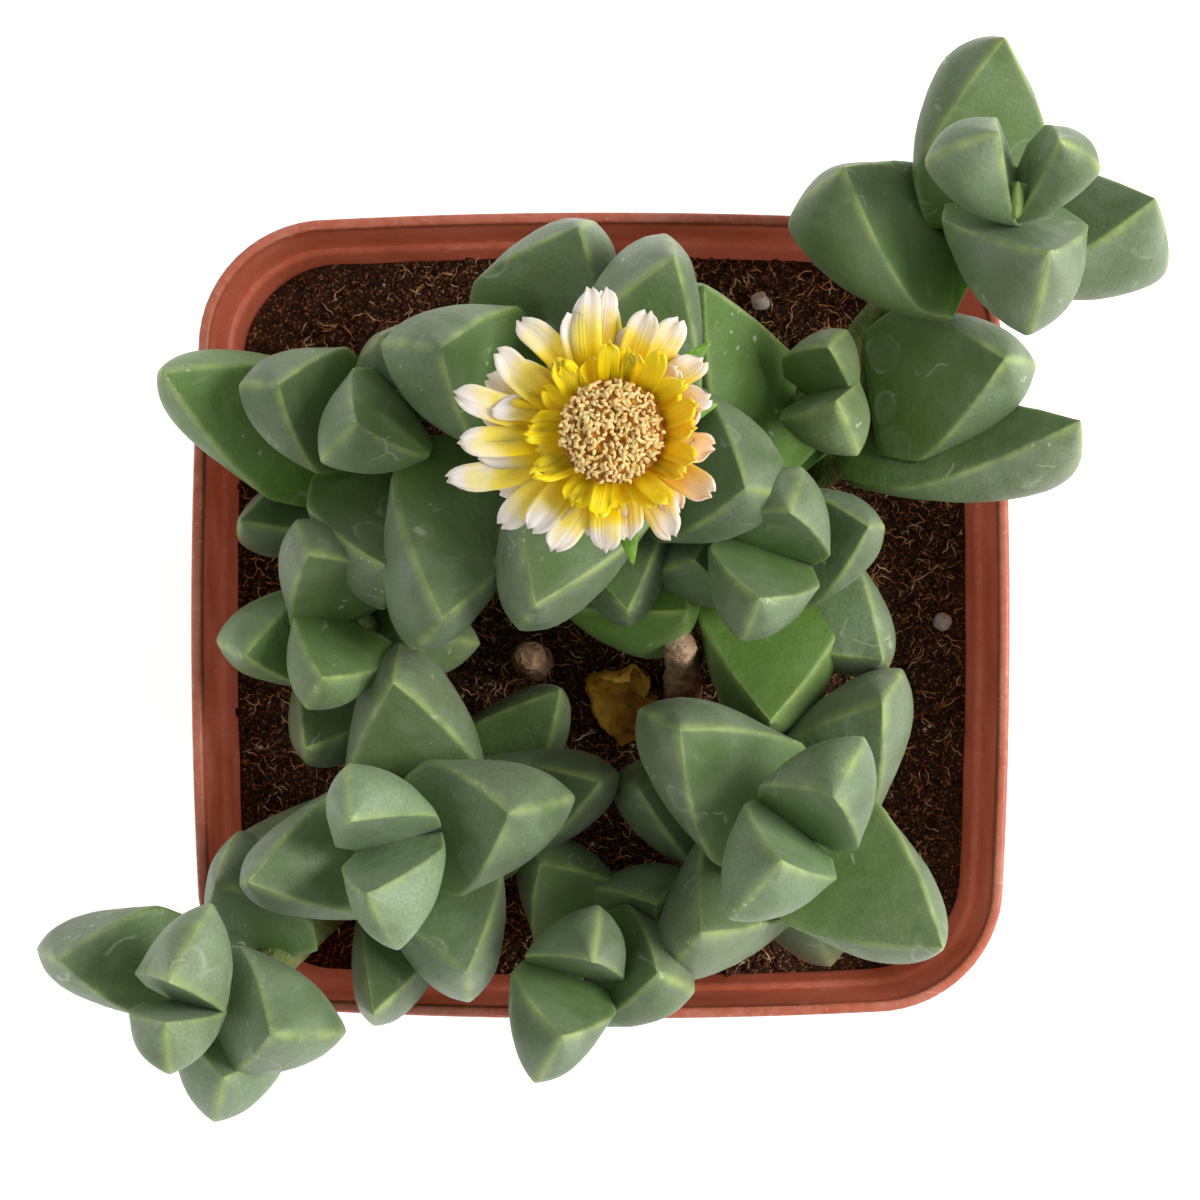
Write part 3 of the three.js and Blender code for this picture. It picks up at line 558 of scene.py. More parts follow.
# How a leaf differs from the usual grey-green: above 0 is paler, below 0 a fuller green.
tones = {
    "shoot_flower": [0, 0, -0.1, 0.1, 0.1, -0.1, 0.05, -0.75, -0.1, -0.1],
    "shoot_corner_right": [-0.6, 0.15, -0.1, 0, -0.1, -0.15, 0.1, -0.1, 0, -0.45],
    "shoot_axil": [-0.2, -0.25],
    "shoot_front_left": [0.5, 0.6, 0.15, 0, 0, 0.15, 0, 0.1, 0.1, -0.3],
    "shoot_front_right": [0.15, 0.3, 0, -0.1, 0.15, 0.1, -0.1, 0],
    "shoot_right": [0.05, 0.05, 0.05, -0.1, -0.55, 0.25],
    "shoot_corner_left": [0.4, 0.35, 0.25, 0.1, 0.3, 0],
    "shoot_front": [0.1, 0, -0.05, -0.1, -0.2],
    "shoot_back_left": [-0.15, -0.05, 0, -0.5, 0],
    "shoot_left": [0, -0.25, -0.3, -0.2, -0.1, 0],
}


def widthShare(s):
    widest = leafShape["widestAt"]
    if s < widest:
        return 0.8 + 0.2 * sin(pi / 2 * max(0, s) / widest)
    return (1 - ((s - widest) / (1 - widest)) ** 1.9) ** leafShape["tipPower"]


def keelShare(s):
    chin = leafShape["chinAt"]
    if s < chin:
        return 0.62 + 0.38 * sin(pi / 2 * max(0, s) / chin)
    return (1 - ((s - chin) / (1 - chin)) ** 2.1) ** leafShape["tipPower"]


# The way a leaf lies: along it, out of its inner face, and across it, with its keel depth
def leafFrame(base, tip, heading, width, chin=None, roll=0, depth=1):
    along = unit(tip - base)
    length = np.linalg.norm(tip - base)
    chinAt = leafShape["chinAt"]
    inner = unit(heading - along * heading.dot(along))
    keel = width * leafShape["depthShare"] * depth
    if chin:
        eye = vec(*camera["eye"])
        sight = vec(chin[0], chin[1], pot["rimHeight"]) - eye
        middle = base + along * chinAt * length
        out = eye + sight * ((middle - eye).dot(along) / sight.dot(along)) - middle
        reach = np.linalg.norm(out)
        inner = -out / reach
        bowAtChin = leafShape["bow"] * length * chinAt * (1 - chinAt)
        keel = min(max(reach - bowAtChin, 0.5 * width), 0.95 * width)
    turn = radians(roll)
    inner = inner * cos(turn) + np.cross(along, inner) * sin(turn)
    return along, length, inner, keel, np.cross(along, inner)


# How far the edges of the inner face stand apart: they run almost straight to the tip
def edgeShare(s):
    start = leafShape["edgesFrom"]
    if s < start:
        return 0.8 + 0.2 * sin(pi / 2 * max(0, s) / start)
    return 1 - ((s - start) / (1 - start)) ** leafShape["edgePower"]


# Places along one side of a leaf's section, from 0 to 1, crowded towards both its edges
crowded = np.linspace(0, 1, leafShape["sidePoints"] + 1)[:-1]
crowded = 0.3 * crowded + 0.7 * (1 - np.cos(pi * crowded)) / 2
edgeDistance = np.tile(np.minimum(crowded, 1 - crowded), 3)
innerMark = np.concatenate([np.ones(len(crowded)), np.zeros(2 * len(crowded))])


# A leaf's section: the flat inner face, then two bulging outer faces that meet in the keel.
# w is the half width of the whole, e of the inner face, and k is the keel's depth.
def leafSection(w, e, k):
    v, arc = crowded, 4 * crowded * (1 - crowded)
    swell, sink, fill = leafShape["sideBulge"]
    out = (swell * e + fill * (w - e)) * arc
    inner = np.stack([e * (1 - 2 * v), 0.05 * e * arc], 1)
    left = np.stack([-e * (1 - v) - out, -k * v - sink * k * arc], 1)
    right = np.stack([e * v + out, -k * (1 - v) - sink * k * arc], 1)
    outline = np.concatenate([inner, left, right])
    return 0.25 * np.roll(outline, 1, 0) + 0.5 * outline + 0.25 * np.roll(outline, -1, 0)


def addLeaf(heap, node, base, tip, width, tone, **turns):
    along, length, inner, keel, side = leafFrame(base, tip, width=width, **turns)
    half = width / 2
    around = len(edgeDistance)
    u = np.linspace(0, 1, leafShape["stations"] + 1)[:-1]
    stations = 1 - (1 - u) ** 1.45
    rings = [(node * 0.8 + base * 0.2, half * 0.5, half * 0.5, keel * 0.3, 0.0)]
    for s in stations:
        centre = base + along * s * length - inner * leafShape["bow"] * length * s * (1 - s)
        rings.append((centre, half * widthShare(s), half * edgeShare(s), keel * keelShare(s), s))
    points = [node - along * 0.6]
    ridge, rim, ran = [0.0], [0.0], [0.0]
    for centre, w, e, k, s in rings:
        section = leafSection(w, min(w, e), k)
        ring = centre + np.outer(section[:, 0], side) + np.outer(section[:, 1], inner)
        for p, edge in zip(ring, edgeDistance):
            out = p - centre + inner * 0.4 * k
            swell = wobble(*p * 0.13) * leafShape["dent"] * 1.4
            swell += wobble(*p * 0.5) * leafShape["dent"] * 0.3
            points.append(p + out / (np.linalg.norm(out) + 1e-6) * swell * min(1, w / 2))
            reach = edge * 2 * w
            ridge.append(exp(-((reach / leafShape["ridgeReach"]) ** 2)) * min(1, 0.25 + s))
            rim.append(exp(-((reach / leafShape["rimReach"]) ** 2)) * min(1, 1.4 * s))
            ran.append(s)
    points.append(tip)
    face = [0.0] + list(np.tile(innerMark, len(rings))) + [0.5]
    heap.add(
        points, ringFaces(len(rings), around, True), 0, ridge=ridge + [0.6], along=ran + [1.0],
        rim=rim + [1.0], inner=face, tone=tone,
    )


# Points round a centre, from the direction right towards the direction up
def circle(centre, right, up, radius, sides):
    turns = [2 * pi * k / sides for k in range(sides)]
    return [centre + (right * cos(turn) + up * sin(turn)) * radius for turn in turns]


# Rings round an upright axis, between one point at the bottom and one at the top
def lathe(x, y, low, rows, high, sides):
    points = [vec(x, y, low)]
    for radius, z in rows:
        points += circle(vec(x, y, z), vec(1, 0, 0), vec(0, 1, 0), radius, sides)
    return points + [vec(x, y, high)]


# Outwards and sideways at an azimuth
def compass(turn):
    return vec(cos(turn), sin(turn), 0), vec(-sin(turn), cos(turn), 0)


# The way a path runs at one of its points
def runs(path, i):
    return unit(path[min(i + 1, len(path) - 1)] - path[max(i - 1, 0)])


def addTube(heap, path, radii, sides, slot, **values):
    points = [path[0]]
    for i, p in enumerate(path):
        along = runs(path, i)
        side = unit(np.cross(vec(0, 1, 0), along))
        points += circle(p, side, np.cross(along, side), radii[i], sides)
    points.append(path[-1])
    heap.add(points, ringFaces(len(path), sides), slot, **values)


# A smooth path through a few points
def smoothPath(points, steps):
    points = [vec(*p) for p in points]
    ends = [2 * points[0] - points[1]] + points + [2 * points[-1] - points[-2]]
    path = []
    for i in range(1, len(ends) - 2):
        a, b, c, d = ends[i - 1 : i + 3]
        for t in np.linspace(0, 1, steps, endpoint=False):
            bend = (2 * a - 5 * b + 4 * c - d) * t**2 + (3 * b - a - 3 * c + d) * t**3
            path.append(0.5 * (2 * b + (c - a) * t + bend))
    return path + [points[-1]]


for name, shoot in shoots.items():
    heap = Heap("ridge", "along", "rim", "inner", "tone")
    path = [placed(n) for n in shoot["nodes"]]
    for leaf, tone in zip(shoot["leaves"], tones[name]):
        given = dict(leaf)
        at = given.pop("node")
        node = path[at]
        base = placed(given.pop("base")) if "base" in given else node
        heading = given.pop("heading", None)
        if heading:
            heading = unit(vec(*heading))
        else:
            heading = unit(unit(path[at] - path[at + 1]) + vec(0, 0, leafShape["upShare"]))
        tip = placed(given.pop("tip"))
        addLeaf(heap, node, base, tip, given.pop("width"), tone, heading=heading, **given)
    smooth = smoothPath(path, 6)
    radii = [stem["radius"] + stem["growth"] * i / 6 for i in range(len(smooth))]
    addTube(heap, smooth, radii, stem["sides"], 1, ridge=0.0, along=0.0, rim=0.0, inner=0.0, tone=0.0)
    piece = heap.make("leafy_" + name, [materials["leaf"], materials["greenStem"]])
    settle(piece, "leaf_skin", name)
print("stage: shoots made")


# Rounded square ring, with sides that bow out a little
def squareRing(half, corner, z, cornerSteps=14, sideSteps=14):
    ring = []
    bow = pot["sideBow"] * half / pot["rimHalf"]
    flat = half - bow - corner
    for quarter in range(4):
        turn = quarter * pi / 2
        local = []
        for t in np.linspace(-1, 1, sideSteps, endpoint=False):
            local.append((half - bow * t * t, flat * t))
        for t in np.linspace(0, 1, cornerSteps, endpoint=False):
            angle = t * pi / 2
            local.append((flat + corner * cos(angle), flat + corner * sin(angle)))
        for x, y in local:
            across, deep = x * cos(turn) - y * sin(turn), x * sin(turn) + y * cos(turn)
            ring.append(vec(across, deep * pot["pressed"], z))
    return ring


def wallHalf(z):
    top = pot["rimHeight"] - pot["bandHeight"]
    return pot["baseHalf"] + (pot["rimHalf"] - pot["bandStep"] - 0.4 - pot["baseHalf"]) * z / top


def wallCorner(z):
    return pot["baseCorner"] + (pot["rimCorner"] - pot["bandStep"] - pot["baseCorner"]) * z / pot["rimHeight"]


def makePot():
    half, top, thin, baseHalf = pot["rimHalf"], pot["rimHeight"], pot["wall"], pot["baseHalf"]
    foot = top - pot["bandHeight"]
    ledge = foot + pot["ledgeRise"]
    # half width, height, and how much pale tint it gets: rubbed wear, and on the lip and the ledge's edge
    # also a painted highlight; the corner's radius shrinks with the half width
    rows = [
        (7, 0, 0), (8, 1, 0), (24, 1, 0), (25, 0, 0.1), (baseHalf - 0.8, 0, 0.3),
        (baseHalf - 0.25, 0.25, 0.6), (wallHalf(0.8), 0.8, 0.3),
    ]
    rows += [(wallHalf(z), z, 0) for z in np.linspace(4, foot - 0.6, 12)]
    rows += [
        (wallHalf(foot), foot - 0.05, 0), (half - 0.8, foot, 0.1), (half - 0.45, foot + 0.15, 0.5),
        (half - 0.35, foot + 0.5, 0.2), (half - 0.25, foot + 4, 0), (half - 0.12, foot + 8, 0),
        (half - 0.02, top - 0.8, 0.25), (half, top - 0.5, 0.9), (half - 0.12, top - 0.12, 1),
        (half - 0.35, top, 0.8), (half - 0.8, top, 0.5), (half - 1.02, top - 0.08, 0.9),
        (half - 1.12, top - 0.35, 0.4), (half - 1.25, top - 2, 0), (half - 1.65, ledge + 2, 0),
        (half - 1.8, ledge + 0.5, 0), (half - 1.95, ledge + 0.12, 0.4), (wallHalf(ledge) - 0.3, ledge, 1),
        (wallHalf(ledge) - thin, ledge - 0.3, 0.8),
    ]
    rows += [(wallHalf(z) - thin, z, 0) for z in np.linspace(ledge - 1.2, pot["floorTop"] + 1, 10)]
    rows.append((wallHalf(pot["floorTop"]) - 1.3, pot["floorTop"], 0))
    points, wear_and_highlight = [vec(0, 0, 0)], [0.0]
    for h, z, r in rows:
        outside = wallHalf(z) if z < foot else half
        corner = wallCorner(z) if z < foot else pot["rimCorner"]
        for p in squareRing(h, max(3, corner - (outside - h)), z):
            sway = 0.18 * wobble(p[0] * 0.05, p[1] * 0.05, 3.1) if z > foot else 0.0
            points.append(p + vec(0, 0, sway if top > z + 0.5 else sway * 0.6))
            wear_and_highlight.append(r * (0.75 + 0.5 * wobble(*p * 0.3)))
    points.append(vec(0, 0, pot["floorTop"]))
    wear_and_highlight.append(0.0)
    around = len(squareRing(1, 0.3, 0))
    faces = ringFaces(len(rows), around)
    # The inner wall from 2 mm below the lip down to the floor is marked inside, where the pot material paints
    # its glow
    lipRow = [z for _, z, _ in rows].index(top)
    inside = [0.0] * (1 + around * (lipRow + 4))
    inside += [1.0] * (len(points) - len(inside))
    made = makeObject("pot_shell", points, faces, [materials["pot"]], {"ridge": wear_and_highlight, "inside": inside})
    for x, y in [(1, 1), (1, -1), (-1, 1), (-1, -1), (1, 0), (-1, 0), (0, 1), (0, -1)]:
        place = (x * pot["drainPlace"] * mm, y * pot["drainPlace"] * mm, 0.001)
        bpy.ops.mesh.primitive_cylinder_add(
            vertices=32, radius=pot["drainRadius"] * mm, depth=0.006, location=place
        )
        cutter = bpy.context.active_object
        cut = made.modifiers.new("drain", "BOOLEAN")
        cut.object = cutter
        cut.operation = "DIFFERENCE"
        cut.solver = "EXACT"
        applied(made)
        bpy.data.objects.remove(cutter)
    made.data.polygons.foreach_set("use_smooth", [True] * len(made.data.polygons))
    made.data.set_sharp_from_angle(angle=radians(50))
    return made


settle(makePot(), "pot_plastic", "pot")
print("stage: pot made")


# What a user would change about the soil. gap keeps pieces that touch just apart.
soil = dict(top=64, lump=0.7, gap=0.3, fibres=5200, straws=200, crumbs=4800, specks=110, seed=11)


def soilHeight(x, y):
    lumps = sin(0.42 * x + 1.3) * cos(0.37 * y - 0.6) + 0.6 * sin(0.83 * x - 0.71 * y)
    return soil["top"] + soil["lump"] * lumps * 0.55


def soilDetail(x, y):
    fine = 0.45 * wobble(x * 0.35, y * 0.35, 1.0)
    fine += 0.3 * wobble(x * 0.9, y * 0.9, 5.0)
    return fine + 0.16 * wobble(x * 2.3, y * 2.3, 9.0)


def makeSoil():
    inset = pot["wall"] + 0.06
    low, top = pot["floorTop"] + soil["gap"], soil["top"]
    rings = [
        squareRing(wallHalf(low) - inset, wallCorner(low) - inset, low),
        squareRing(wallHalf(top - 1.2) - inset, wallCorner(top) - inset, top - 1.2),
    ]
    for share in np.linspace(0.995, 0.03, 72):
        half = (wallHalf(top) - inset) * share
        ring = squareRing(half, (wallCorner(top) - inset) * share, 0)
        edge = min(1, (1 - share) * 12)
        for p in ring:
            p[2] = soilHeight(p[0], p[1]) + soilDetail(p[0], p[1]) * edge
        rings.append(ring)
    points = [vec(0, 0, low)] + [p for ring in rings for p in ring] + [vec(0, 0, soilHeight(0, 0))]
    return makeObject("peat_block", points, ringFaces(len(rings), len(rings[0])), [materials["peat"]])


# Scatters one of a few small shapes over the upward faces of a surface. Density is in shapes for
# each square metre, Gap the least distance, Smallest and Largest scale the shapes, Tilt is in radians.
# Reach keeps them inside a rounded square of that half width.
def scatterTree(name, shapes, material):
    tree = bpy.data.node_groups.new(name, "GeometryNodeTree")
    tree.interface.new_socket("Surface", in_out="INPUT", socket_type="NodeSocketGeometry")
    for label, kind in (
        ("Density", "Float"), ("Smallest", "Float"), ("Largest", "Float"), ("Tilt", "Float"),
        ("Lift", "Float"), ("Gap", "Float"), ("Reach", "Float"), ("Seed", "Int"),
    ):
        tree.interface.new_socket(label, in_out="INPUT", socket_type="NodeSocket" + kind)
    tree.interface.new_socket("Scattered", in_out="OUTPUT", socket_type="NodeSocketGeometry")
    start = addNode(tree, "NodeGroupInput").node.outputs
    normal = addNode(tree, "GeometryNodeInputNormal")
    upward = addNode(tree, "ShaderNodeSeparateXYZ", {0: normal}, "Z")
    upright = addNode(tree, "FunctionNodeCompare", {0: upward, 1: 0.35}, operation="GREATER_THAN")
    spot = addNode(tree, "GeometryNodeInputPosition")
    for _ in range(2):
        spot = addNode(tree, "ShaderNodeVectorMath", {0: spot, 1: spot}, operation="MULTIPLY")
    across = addNode(tree, "ShaderNodeVectorMath", {0: spot, 1: (1, 1, 0)}, "Value", operation="DOT_PRODUCT")
    limit = addNode(tree, "ShaderNodeMath", {0: start["Reach"], 1: 4.0}, operation="POWER")
    within = addNode(tree, "FunctionNodeCompare", {0: across, 1: limit}, operation="LESS_THAN")
    chosen = addNode(tree, "FunctionNodeBooleanMath", {0: upright, 1: within}, operation="AND")
    spots = addNode(
        tree, "GeometryNodeDistributePointsOnFaces",
        {"Mesh": start["Surface"], "Selection": chosen, "Density Max": start["Density"],
         "Distance Min": start["Gap"], "Seed": start["Seed"]},
        distribute_method="POISSON",
    )
    above = addNode(tree, "ShaderNodeCombineXYZ", {2: start["Lift"]})
    spots = addNode(tree, "GeometryNodeSetPosition", {"Geometry": spots, "Offset": above})
    shelf = addNode(
        tree, "GeometryNodeCollectionInfo",
        {"Collection": shapes, "Separate Children": True, "Reset Children": True},
    )
    size = addNode(
        tree, "FunctionNodeRandomValue",
        {2: start["Smallest"], 3: start["Largest"], "Seed": start["Seed"]}, 1, data_type="FLOAT",
    )
    back = addNode(tree, "ShaderNodeMath", {0: start["Tilt"], 1: -1.0}, operation="MULTIPLY")
    least = addNode(tree, "ShaderNodeCombineXYZ", {0: back, 1: back})
    most = addNode(tree, "ShaderNodeCombineXYZ", {0: start["Tilt"], 1: start["Tilt"], 2: 2 * pi})
    turn = addNode(
        tree, "FunctionNodeRandomValue", {0: least, 1: most, "Seed": start["Seed"]}, data_type="FLOAT_VECTOR"
    )
    put = addNode(
        tree, "GeometryNodeInstanceOnPoints",
        {"Points": spots, "Instance": shelf, "Pick Instance": True, "Rotation": turn, "Scale": size},
    )
    real = addNode(tree, "GeometryNodeRealizeInstances", {"Geometry": put})
    dressed = addNode(tree, "GeometryNodeSetMaterial", {"Geometry": real, "Material": material})
    addNode(tree, "NodeGroupOutput", {0: dressed})
    return tree


def scatter(name, surface, shapes, material, **numbers):
    shelf = bpy.data.collections.new(name + "_shapes")
    for shape in shapes:
        bpy.context.scene.collection.objects.unlink(shape)
        shelf.objects.link(shape)
    tree = scatterTree(name, shelf, material)
    host = addObject(name, surface.data)
    step = host.modifiers.new("scatter", "NODES")
    step.node_group = tree
    for item in tree.interface.items_tree:
        if item.in_out == "INPUT" and item.name in numbers:
            step[item.identifier] = numbers[item.name]
    applied(host)
    for shape in shapes:
        bpy.data.objects.remove(shape)
    bpy.data.collections.remove(shelf)
    bpy.data.node_groups.remove(tree)
    return host


rng = np.random.default_rng(soil["seed"])


# Bent threads a few tenths of a millimetre thick, 1 unit long. Sizes here are in millimetres.
def fibreShape(number, material):
    heap = Heap()
    path = [vec(-0.5, 0, 0.02)]
    for _ in range(4):
        path.append(path[-1] + vec(0.25, rng.uniform(-0.2, 0.2), rng.uniform(-0.05, 0.08)))
    addTube(heap, path, [0.022, 0.038, 0.042, 0.034, 0.014], 3, 0)
    return heap.make(f"fibre_{number}", [material])


def crumbShape(number, material):
    heap = Heap()
    path = [vec(0, 0, -0.45), vec(0, 0, -0.1), vec(0, 0, 0.3)]
    addTube(heap, path, [0.3, 0.5, 0.26], 5, 0)
    heap.points = [tuple(vec(*p) * (1 + rng.uniform(-0.25, 0.25))) for p in heap.points]
    return heap.make(f"crumb_{number}", [material])


soilPiece = makeSoil()
settle(soilPiece, "peat", "soil")
area = (2 * wallHalf(soil["top"]) * mm) ** 2
litter = [
    # piece, shapes, material, slot, count, smallest, largest, tilt, lift and least way from the wall in mm
    ("peat_fibres", fibreShape, "fibre", "peat", soil["fibres"], 0.5, 2.3, 0.5, 0.12, 1.2),
    ("straw_bits", fibreShape, "straw", "peat", soil["straws"], 0.8, 2.6, 0.5, 0.2, 1.4),
    ("peat_crumbs", crumbShape, "crumb", "peat", soil["crumbs"], 0.35, 1.35, 1.5, 0.0, 0.8),
    ("white_specks", crumbShape, "perlite", "perlite", soil["specks"], 0.25, 0.6, 1.5, 0.2, 0.5),
]
for i, (name, shape, kind, slot, count, small, large, tilt, lift, away) in enumerate(litter):
    piece = scatter(
        name, soilPiece, [shape(k, materials[kind]) for k in range(6)], materials[kind], Density=count / area,
        Smallest=small, Largest=large, Tilt=tilt, Lift=lift * mm, Seed=soil["seed"] + i,
        Reach=(wallHalf(soil["top"]) - pot["wall"] - away) * mm,
    )
    settle(piece, slot)
print("stage: soil made")


# What a user would change about the perlite, the old wood and the dried leaf
grain = dict(radius=0.95, flat=0.6, sides=18, rings=12)
wood = dict(radius=2, taper=0.15, rough=0.35, sides=24)
dryLeaf = dict(half=3.4, thickness=0.3, crumple=0.5, columns=17)


# Round lumpy grains of perlite, larger ones where the photograph has them
def makeGrain(name, x, y, node):
    spot = placed((x, y, soil["top"]))
    radius, around = grain["radius"], grain["sides"]
    flat = grain["flat"] * radius
    centre = vec(spot[0], spot[1], soilHeight(spot[0], spot[1]) + soil["gap"] + flat)
    heap = Heap()
    heights = np.cos(np.linspace(pi, 0, grain["rings"] + 2)[1:-1])
    rows = [(radius * sqrt(1 - h * h), centre[2] + radius * h) for h in heights]
    out = []
    for p in lathe(centre[0], centre[1], centre[2] - radius, rows, centre[2] + radius, around):
        away = p - centre
        away = away * (1 + 0.22 * wobble(*p * 1.6) + 0.1 * wobble(*p * 4))
        away[2] = max(away[2], -flat)
        out.append(centre + away)
    heap.add(out, ringFaces(len(heights), around))
    piece = heap.make(name, [materials["perlite"]])
    settle(piece, "perlite", node)


makeGrain("perlite_grain_left", 16, 31.3, "perlite_left")
makeGrain("perlite_grain_right", 34.2, -0.7, "perlite_right")


# The old wood, with a rough bark
def makeWood(name, nodes, node):
    path = smoothPath([placed(n) for n in nodes], 10)
    heap = Heap()
    radii = [wood["radius"] * (0.75 + wood["taper"] * i / 10) for i in range(len(path))]
    addTube(heap, path, radii, wood["sides"], 0)
    for i, (x, y, z) in enumerate(heap.points):
        sway = vec(wobble(x * 1.4, y * 1.4, z * 0.4), wobble(y * 1.4, x * 1.4, z * 0.4 + 7), 0)
        heap.points[i] = tuple(vec(x, y, z) + sway * wood["rough"])
    settle(heap.make(name, [materials["wood"]]), "old_wood", node)


makeWood("bark_right", [(8, -3, 82), (8.2, -6, 72), (8.3, -8.5, 61)], "woody_stem")
makeWood("bark_left", [(-7, -4, 74), (-7, -4.5, 68), (-6, -5, 61)], "woody_stem_left")


# A closed thin sheet over a grid of places, rows by columns, with its own point values
def addSheet(heap, grid, normals, thickness, slot, **values):
    rows, columns = len(grid), len(grid[0])
    upper = [grid[r][c] + normals[r][c] * thickness / 2 for r in range(rows) for c in range(columns)]
    lower = [grid[r][c] - normals[r][c] * thickness / 2 for r in range(rows) for c in range(columns)]
    under = rows * columns
    faces = []
    for r in range(rows - 1):
        for c in range(columns - 1):
            a, b = r * columns + c, (r + 1) * columns + c
            faces.append((a, a + 1, b + 1, b))
            faces.append((under + a, under + b, under + b + 1, under + a + 1))
    for c in range(columns - 1):
        faces.append((c, under + c, under + c + 1, c + 1))
        last = (rows - 1) * columns + c
        faces.append((last, last + 1, under + last + 1, under + last))
    for r in range(rows - 1):
        a, b = r * columns, (r + 1) * columns
        faces.append((a, b, under + b, under + a))
        e, f = a + columns - 1, b + columns - 1
        faces.append((e, under + e, under + f, f))
    doubled = {k: (v if np.isscalar(v) else list(v) + list(v)) for k, v in values.items()}
    heap.add(upper + lower, faces, slot, **doubled)


def makeDryLeaf():
    spots = [
        (3.8, -12.6, 64.8), (3.4, -10.6, 65.6), (2.4, -8.4, 67), (2, -6.6, 69.4), (2.8, -5.6, 72),
        (3.4, -5.2, 74),
    ]
    path = smoothPath([placed(p) for p in spots], 7)
    grid, normals = [], []
    for i, p in enumerate(path):
        s = i / (len(path) - 1)
        along = runs(path, i)
        side = vec(1, 0.25 * sin(8 * s), 0.2 * cos(10 * s))
        side = unit(side - along * side.dot(along))
        up = np.cross(side, along)
        half = dryLeaf["half"] * sin(pi * (0.12 + 0.83 * s)) ** 0.8
        row, rowNormals = [], []
        for t in np.linspace(-1, 1, dryLeaf["columns"]):
            crumple = dryLeaf["crumple"] * wobble(s * 7, t * 2.5, 0.5)
            crumple += 0.2 * wobble(s * 20, t * 7, 2)
            ragged = 1 + 0.14 * wobble(s * 14, t * 3, 4)
            row.append(p + side * t * half * ragged + up * (1.1 * t * t + crumple))
            rowNormals.append(up)
        grid.append(row)
        normals.append(rowNormals)
    heap = Heap()
    addSheet(heap, grid, normals, dryLeaf["thickness"], 0)
    settle(heap.make("dry_leaf_sheet", [materials["dryLeaf"]]), "dry_leaf_skin", "dry_leaf")


makeDryLeaf()
print("stage: wood, grains and dry leaf made")

# What a user would change about the flower
flower = dict(
    at=(1.5, 16.1), pedicelFoot=98.5, pedicelRadius=1.3, calyxTop=113.5, calyxRadius=4.8,
    ringHeight=0.9, outerRing=4.4, innerRing=3.8, innerCount=26, innerReach=7.6, innerLift=15,
    stamens=430, stamenGap=0.3, stamenReach=4.7, petalThickness=0.34,
)
# Petals of the flower: azimuth in degrees and reach in plan, as read from the photograph
outerPetals = [
    (-57, 11), (-32, 10.7), (-13, 9.4), (10, 8.6), (29, 9.4), (45, 10.6), (60, 12), (76, 11.4), (91, 12.8),
    (101, 13), (110, 13.1), (121, 13.3), (142, 11.4), (153, 12.8), (163, 12.6), (170, 14.9), (185, 14.1),
    (204, 15.6), (217, 13.3), (228, 11.6), (239, 11.2), (249, 12), (264, 10.9), (283, 9.8),
]
sepals = [(-81, 12.2), (44, 12.7), (17, 10.2), (118, 8.6), (190, 9)]
swing = [0, 6, -5, 3, 8, -3]


def petalRise(azimuth):
    return 20 + 12 * cos(radians(azimuth - 15))


def addPetal(heap, azimuth, rise, foot, footHeight, reach, half, droop, seed, notch, warm):
    turn, climb = radians(azimuth), tan(radians(rise))
    own = np.random.default_rng(seed)
    sway, cup, twist = own.uniform(-0.09, 0.09), own.uniform(0.02, 0.3), own.uniform(-0.5, 0.5)
    curl, sag = own.uniform(-1.4, 1.6), own.uniform(0.6, 1.5)
    ax, ay = flower["at"]
    rows, columns = 20, 9
    grid, normals, along, across = [], [], [], []
    outward, side = compass(turn)
    side = -side
    for i in range(rows):
        s = i / (rows - 1)
        r = foot + (reach - foot) * s
        height = footHeight + (r - foot) * climb - droop * sag * s * s + curl * max(0, s - 0.7) ** 2 * 3
        width = half * (0.5 + 0.5 * sin(pi / 2 * min(1, s / 0.62)))
        width *= (1 - max(0, (s - 0.78) / 0.22) ** 2.2) ** 0.5 if s < 0.999 else 0.3
        lean = twist * s
        row, rowNormals = [], []
        for t in np.linspace(-1, 1, columns):
            ragged = notch * (0.5 + 0.5 * cos(4.1 * t + seed)) * s**5
            spot = outward * (r - ragged) + side * (t * width + sway * (r - foot) * s * 3)
            lift = height + cup * t * t * width + t * width * sin(lean)
            lift += 0.1 * sin(6.4 * t + seed) * s
            lift += 0.42 * s * wobble(s * 3, t * 1.3, seed * 0.7)
            row.append(vec(ax, ay, lift) + spot)
            rowNormals.append(unit(vec(0, 0, 1) - outward * climb * 0.7))
            along.append(s)
            across.append((t + 1) * 0.5)
        grid.append(row)
        normals.append(rowNormals)
    thickness = flower["petalThickness"]
    addSheet(heap, grid, normals, thickness, 0, along=along, across=across, kind=float(seed % 17), warm=warm)


def addDisc(heap, radius, low, high, **values):
    around, edge = 40, 0.1
    rows = [(radius - edge, low), (radius, low + edge), (radius, high - edge), (radius - edge, high)]
    heap.add(lathe(*flower["at"], low, rows, high, around), ringFaces(4, around), 0, **values)


# How orange a petal is: the ones to the right and low right have faded to peach
def warmth(azimuth):
    return max(0, cos(radians(azimuth + 12))) ** 2 * 0.55


# A bent, lumpy anther, 1 mm long before it is scaled
def antherShape(number, material):
    heap = Heap()
    bends = [vec(rng.uniform(-0.16, 0.16), rng.uniform(-0.16, 0.16), 0) for _ in range(5)]
    path = [vec(0, 0, 0.25 * i - 0.5) + bend for i, bend in enumerate(bends)]
    addTube(heap, path, [0.09, 0.2, 0.17, 0.21, 0.1], 6, 0)
    return heap.make(f"anther_{number}", [material])


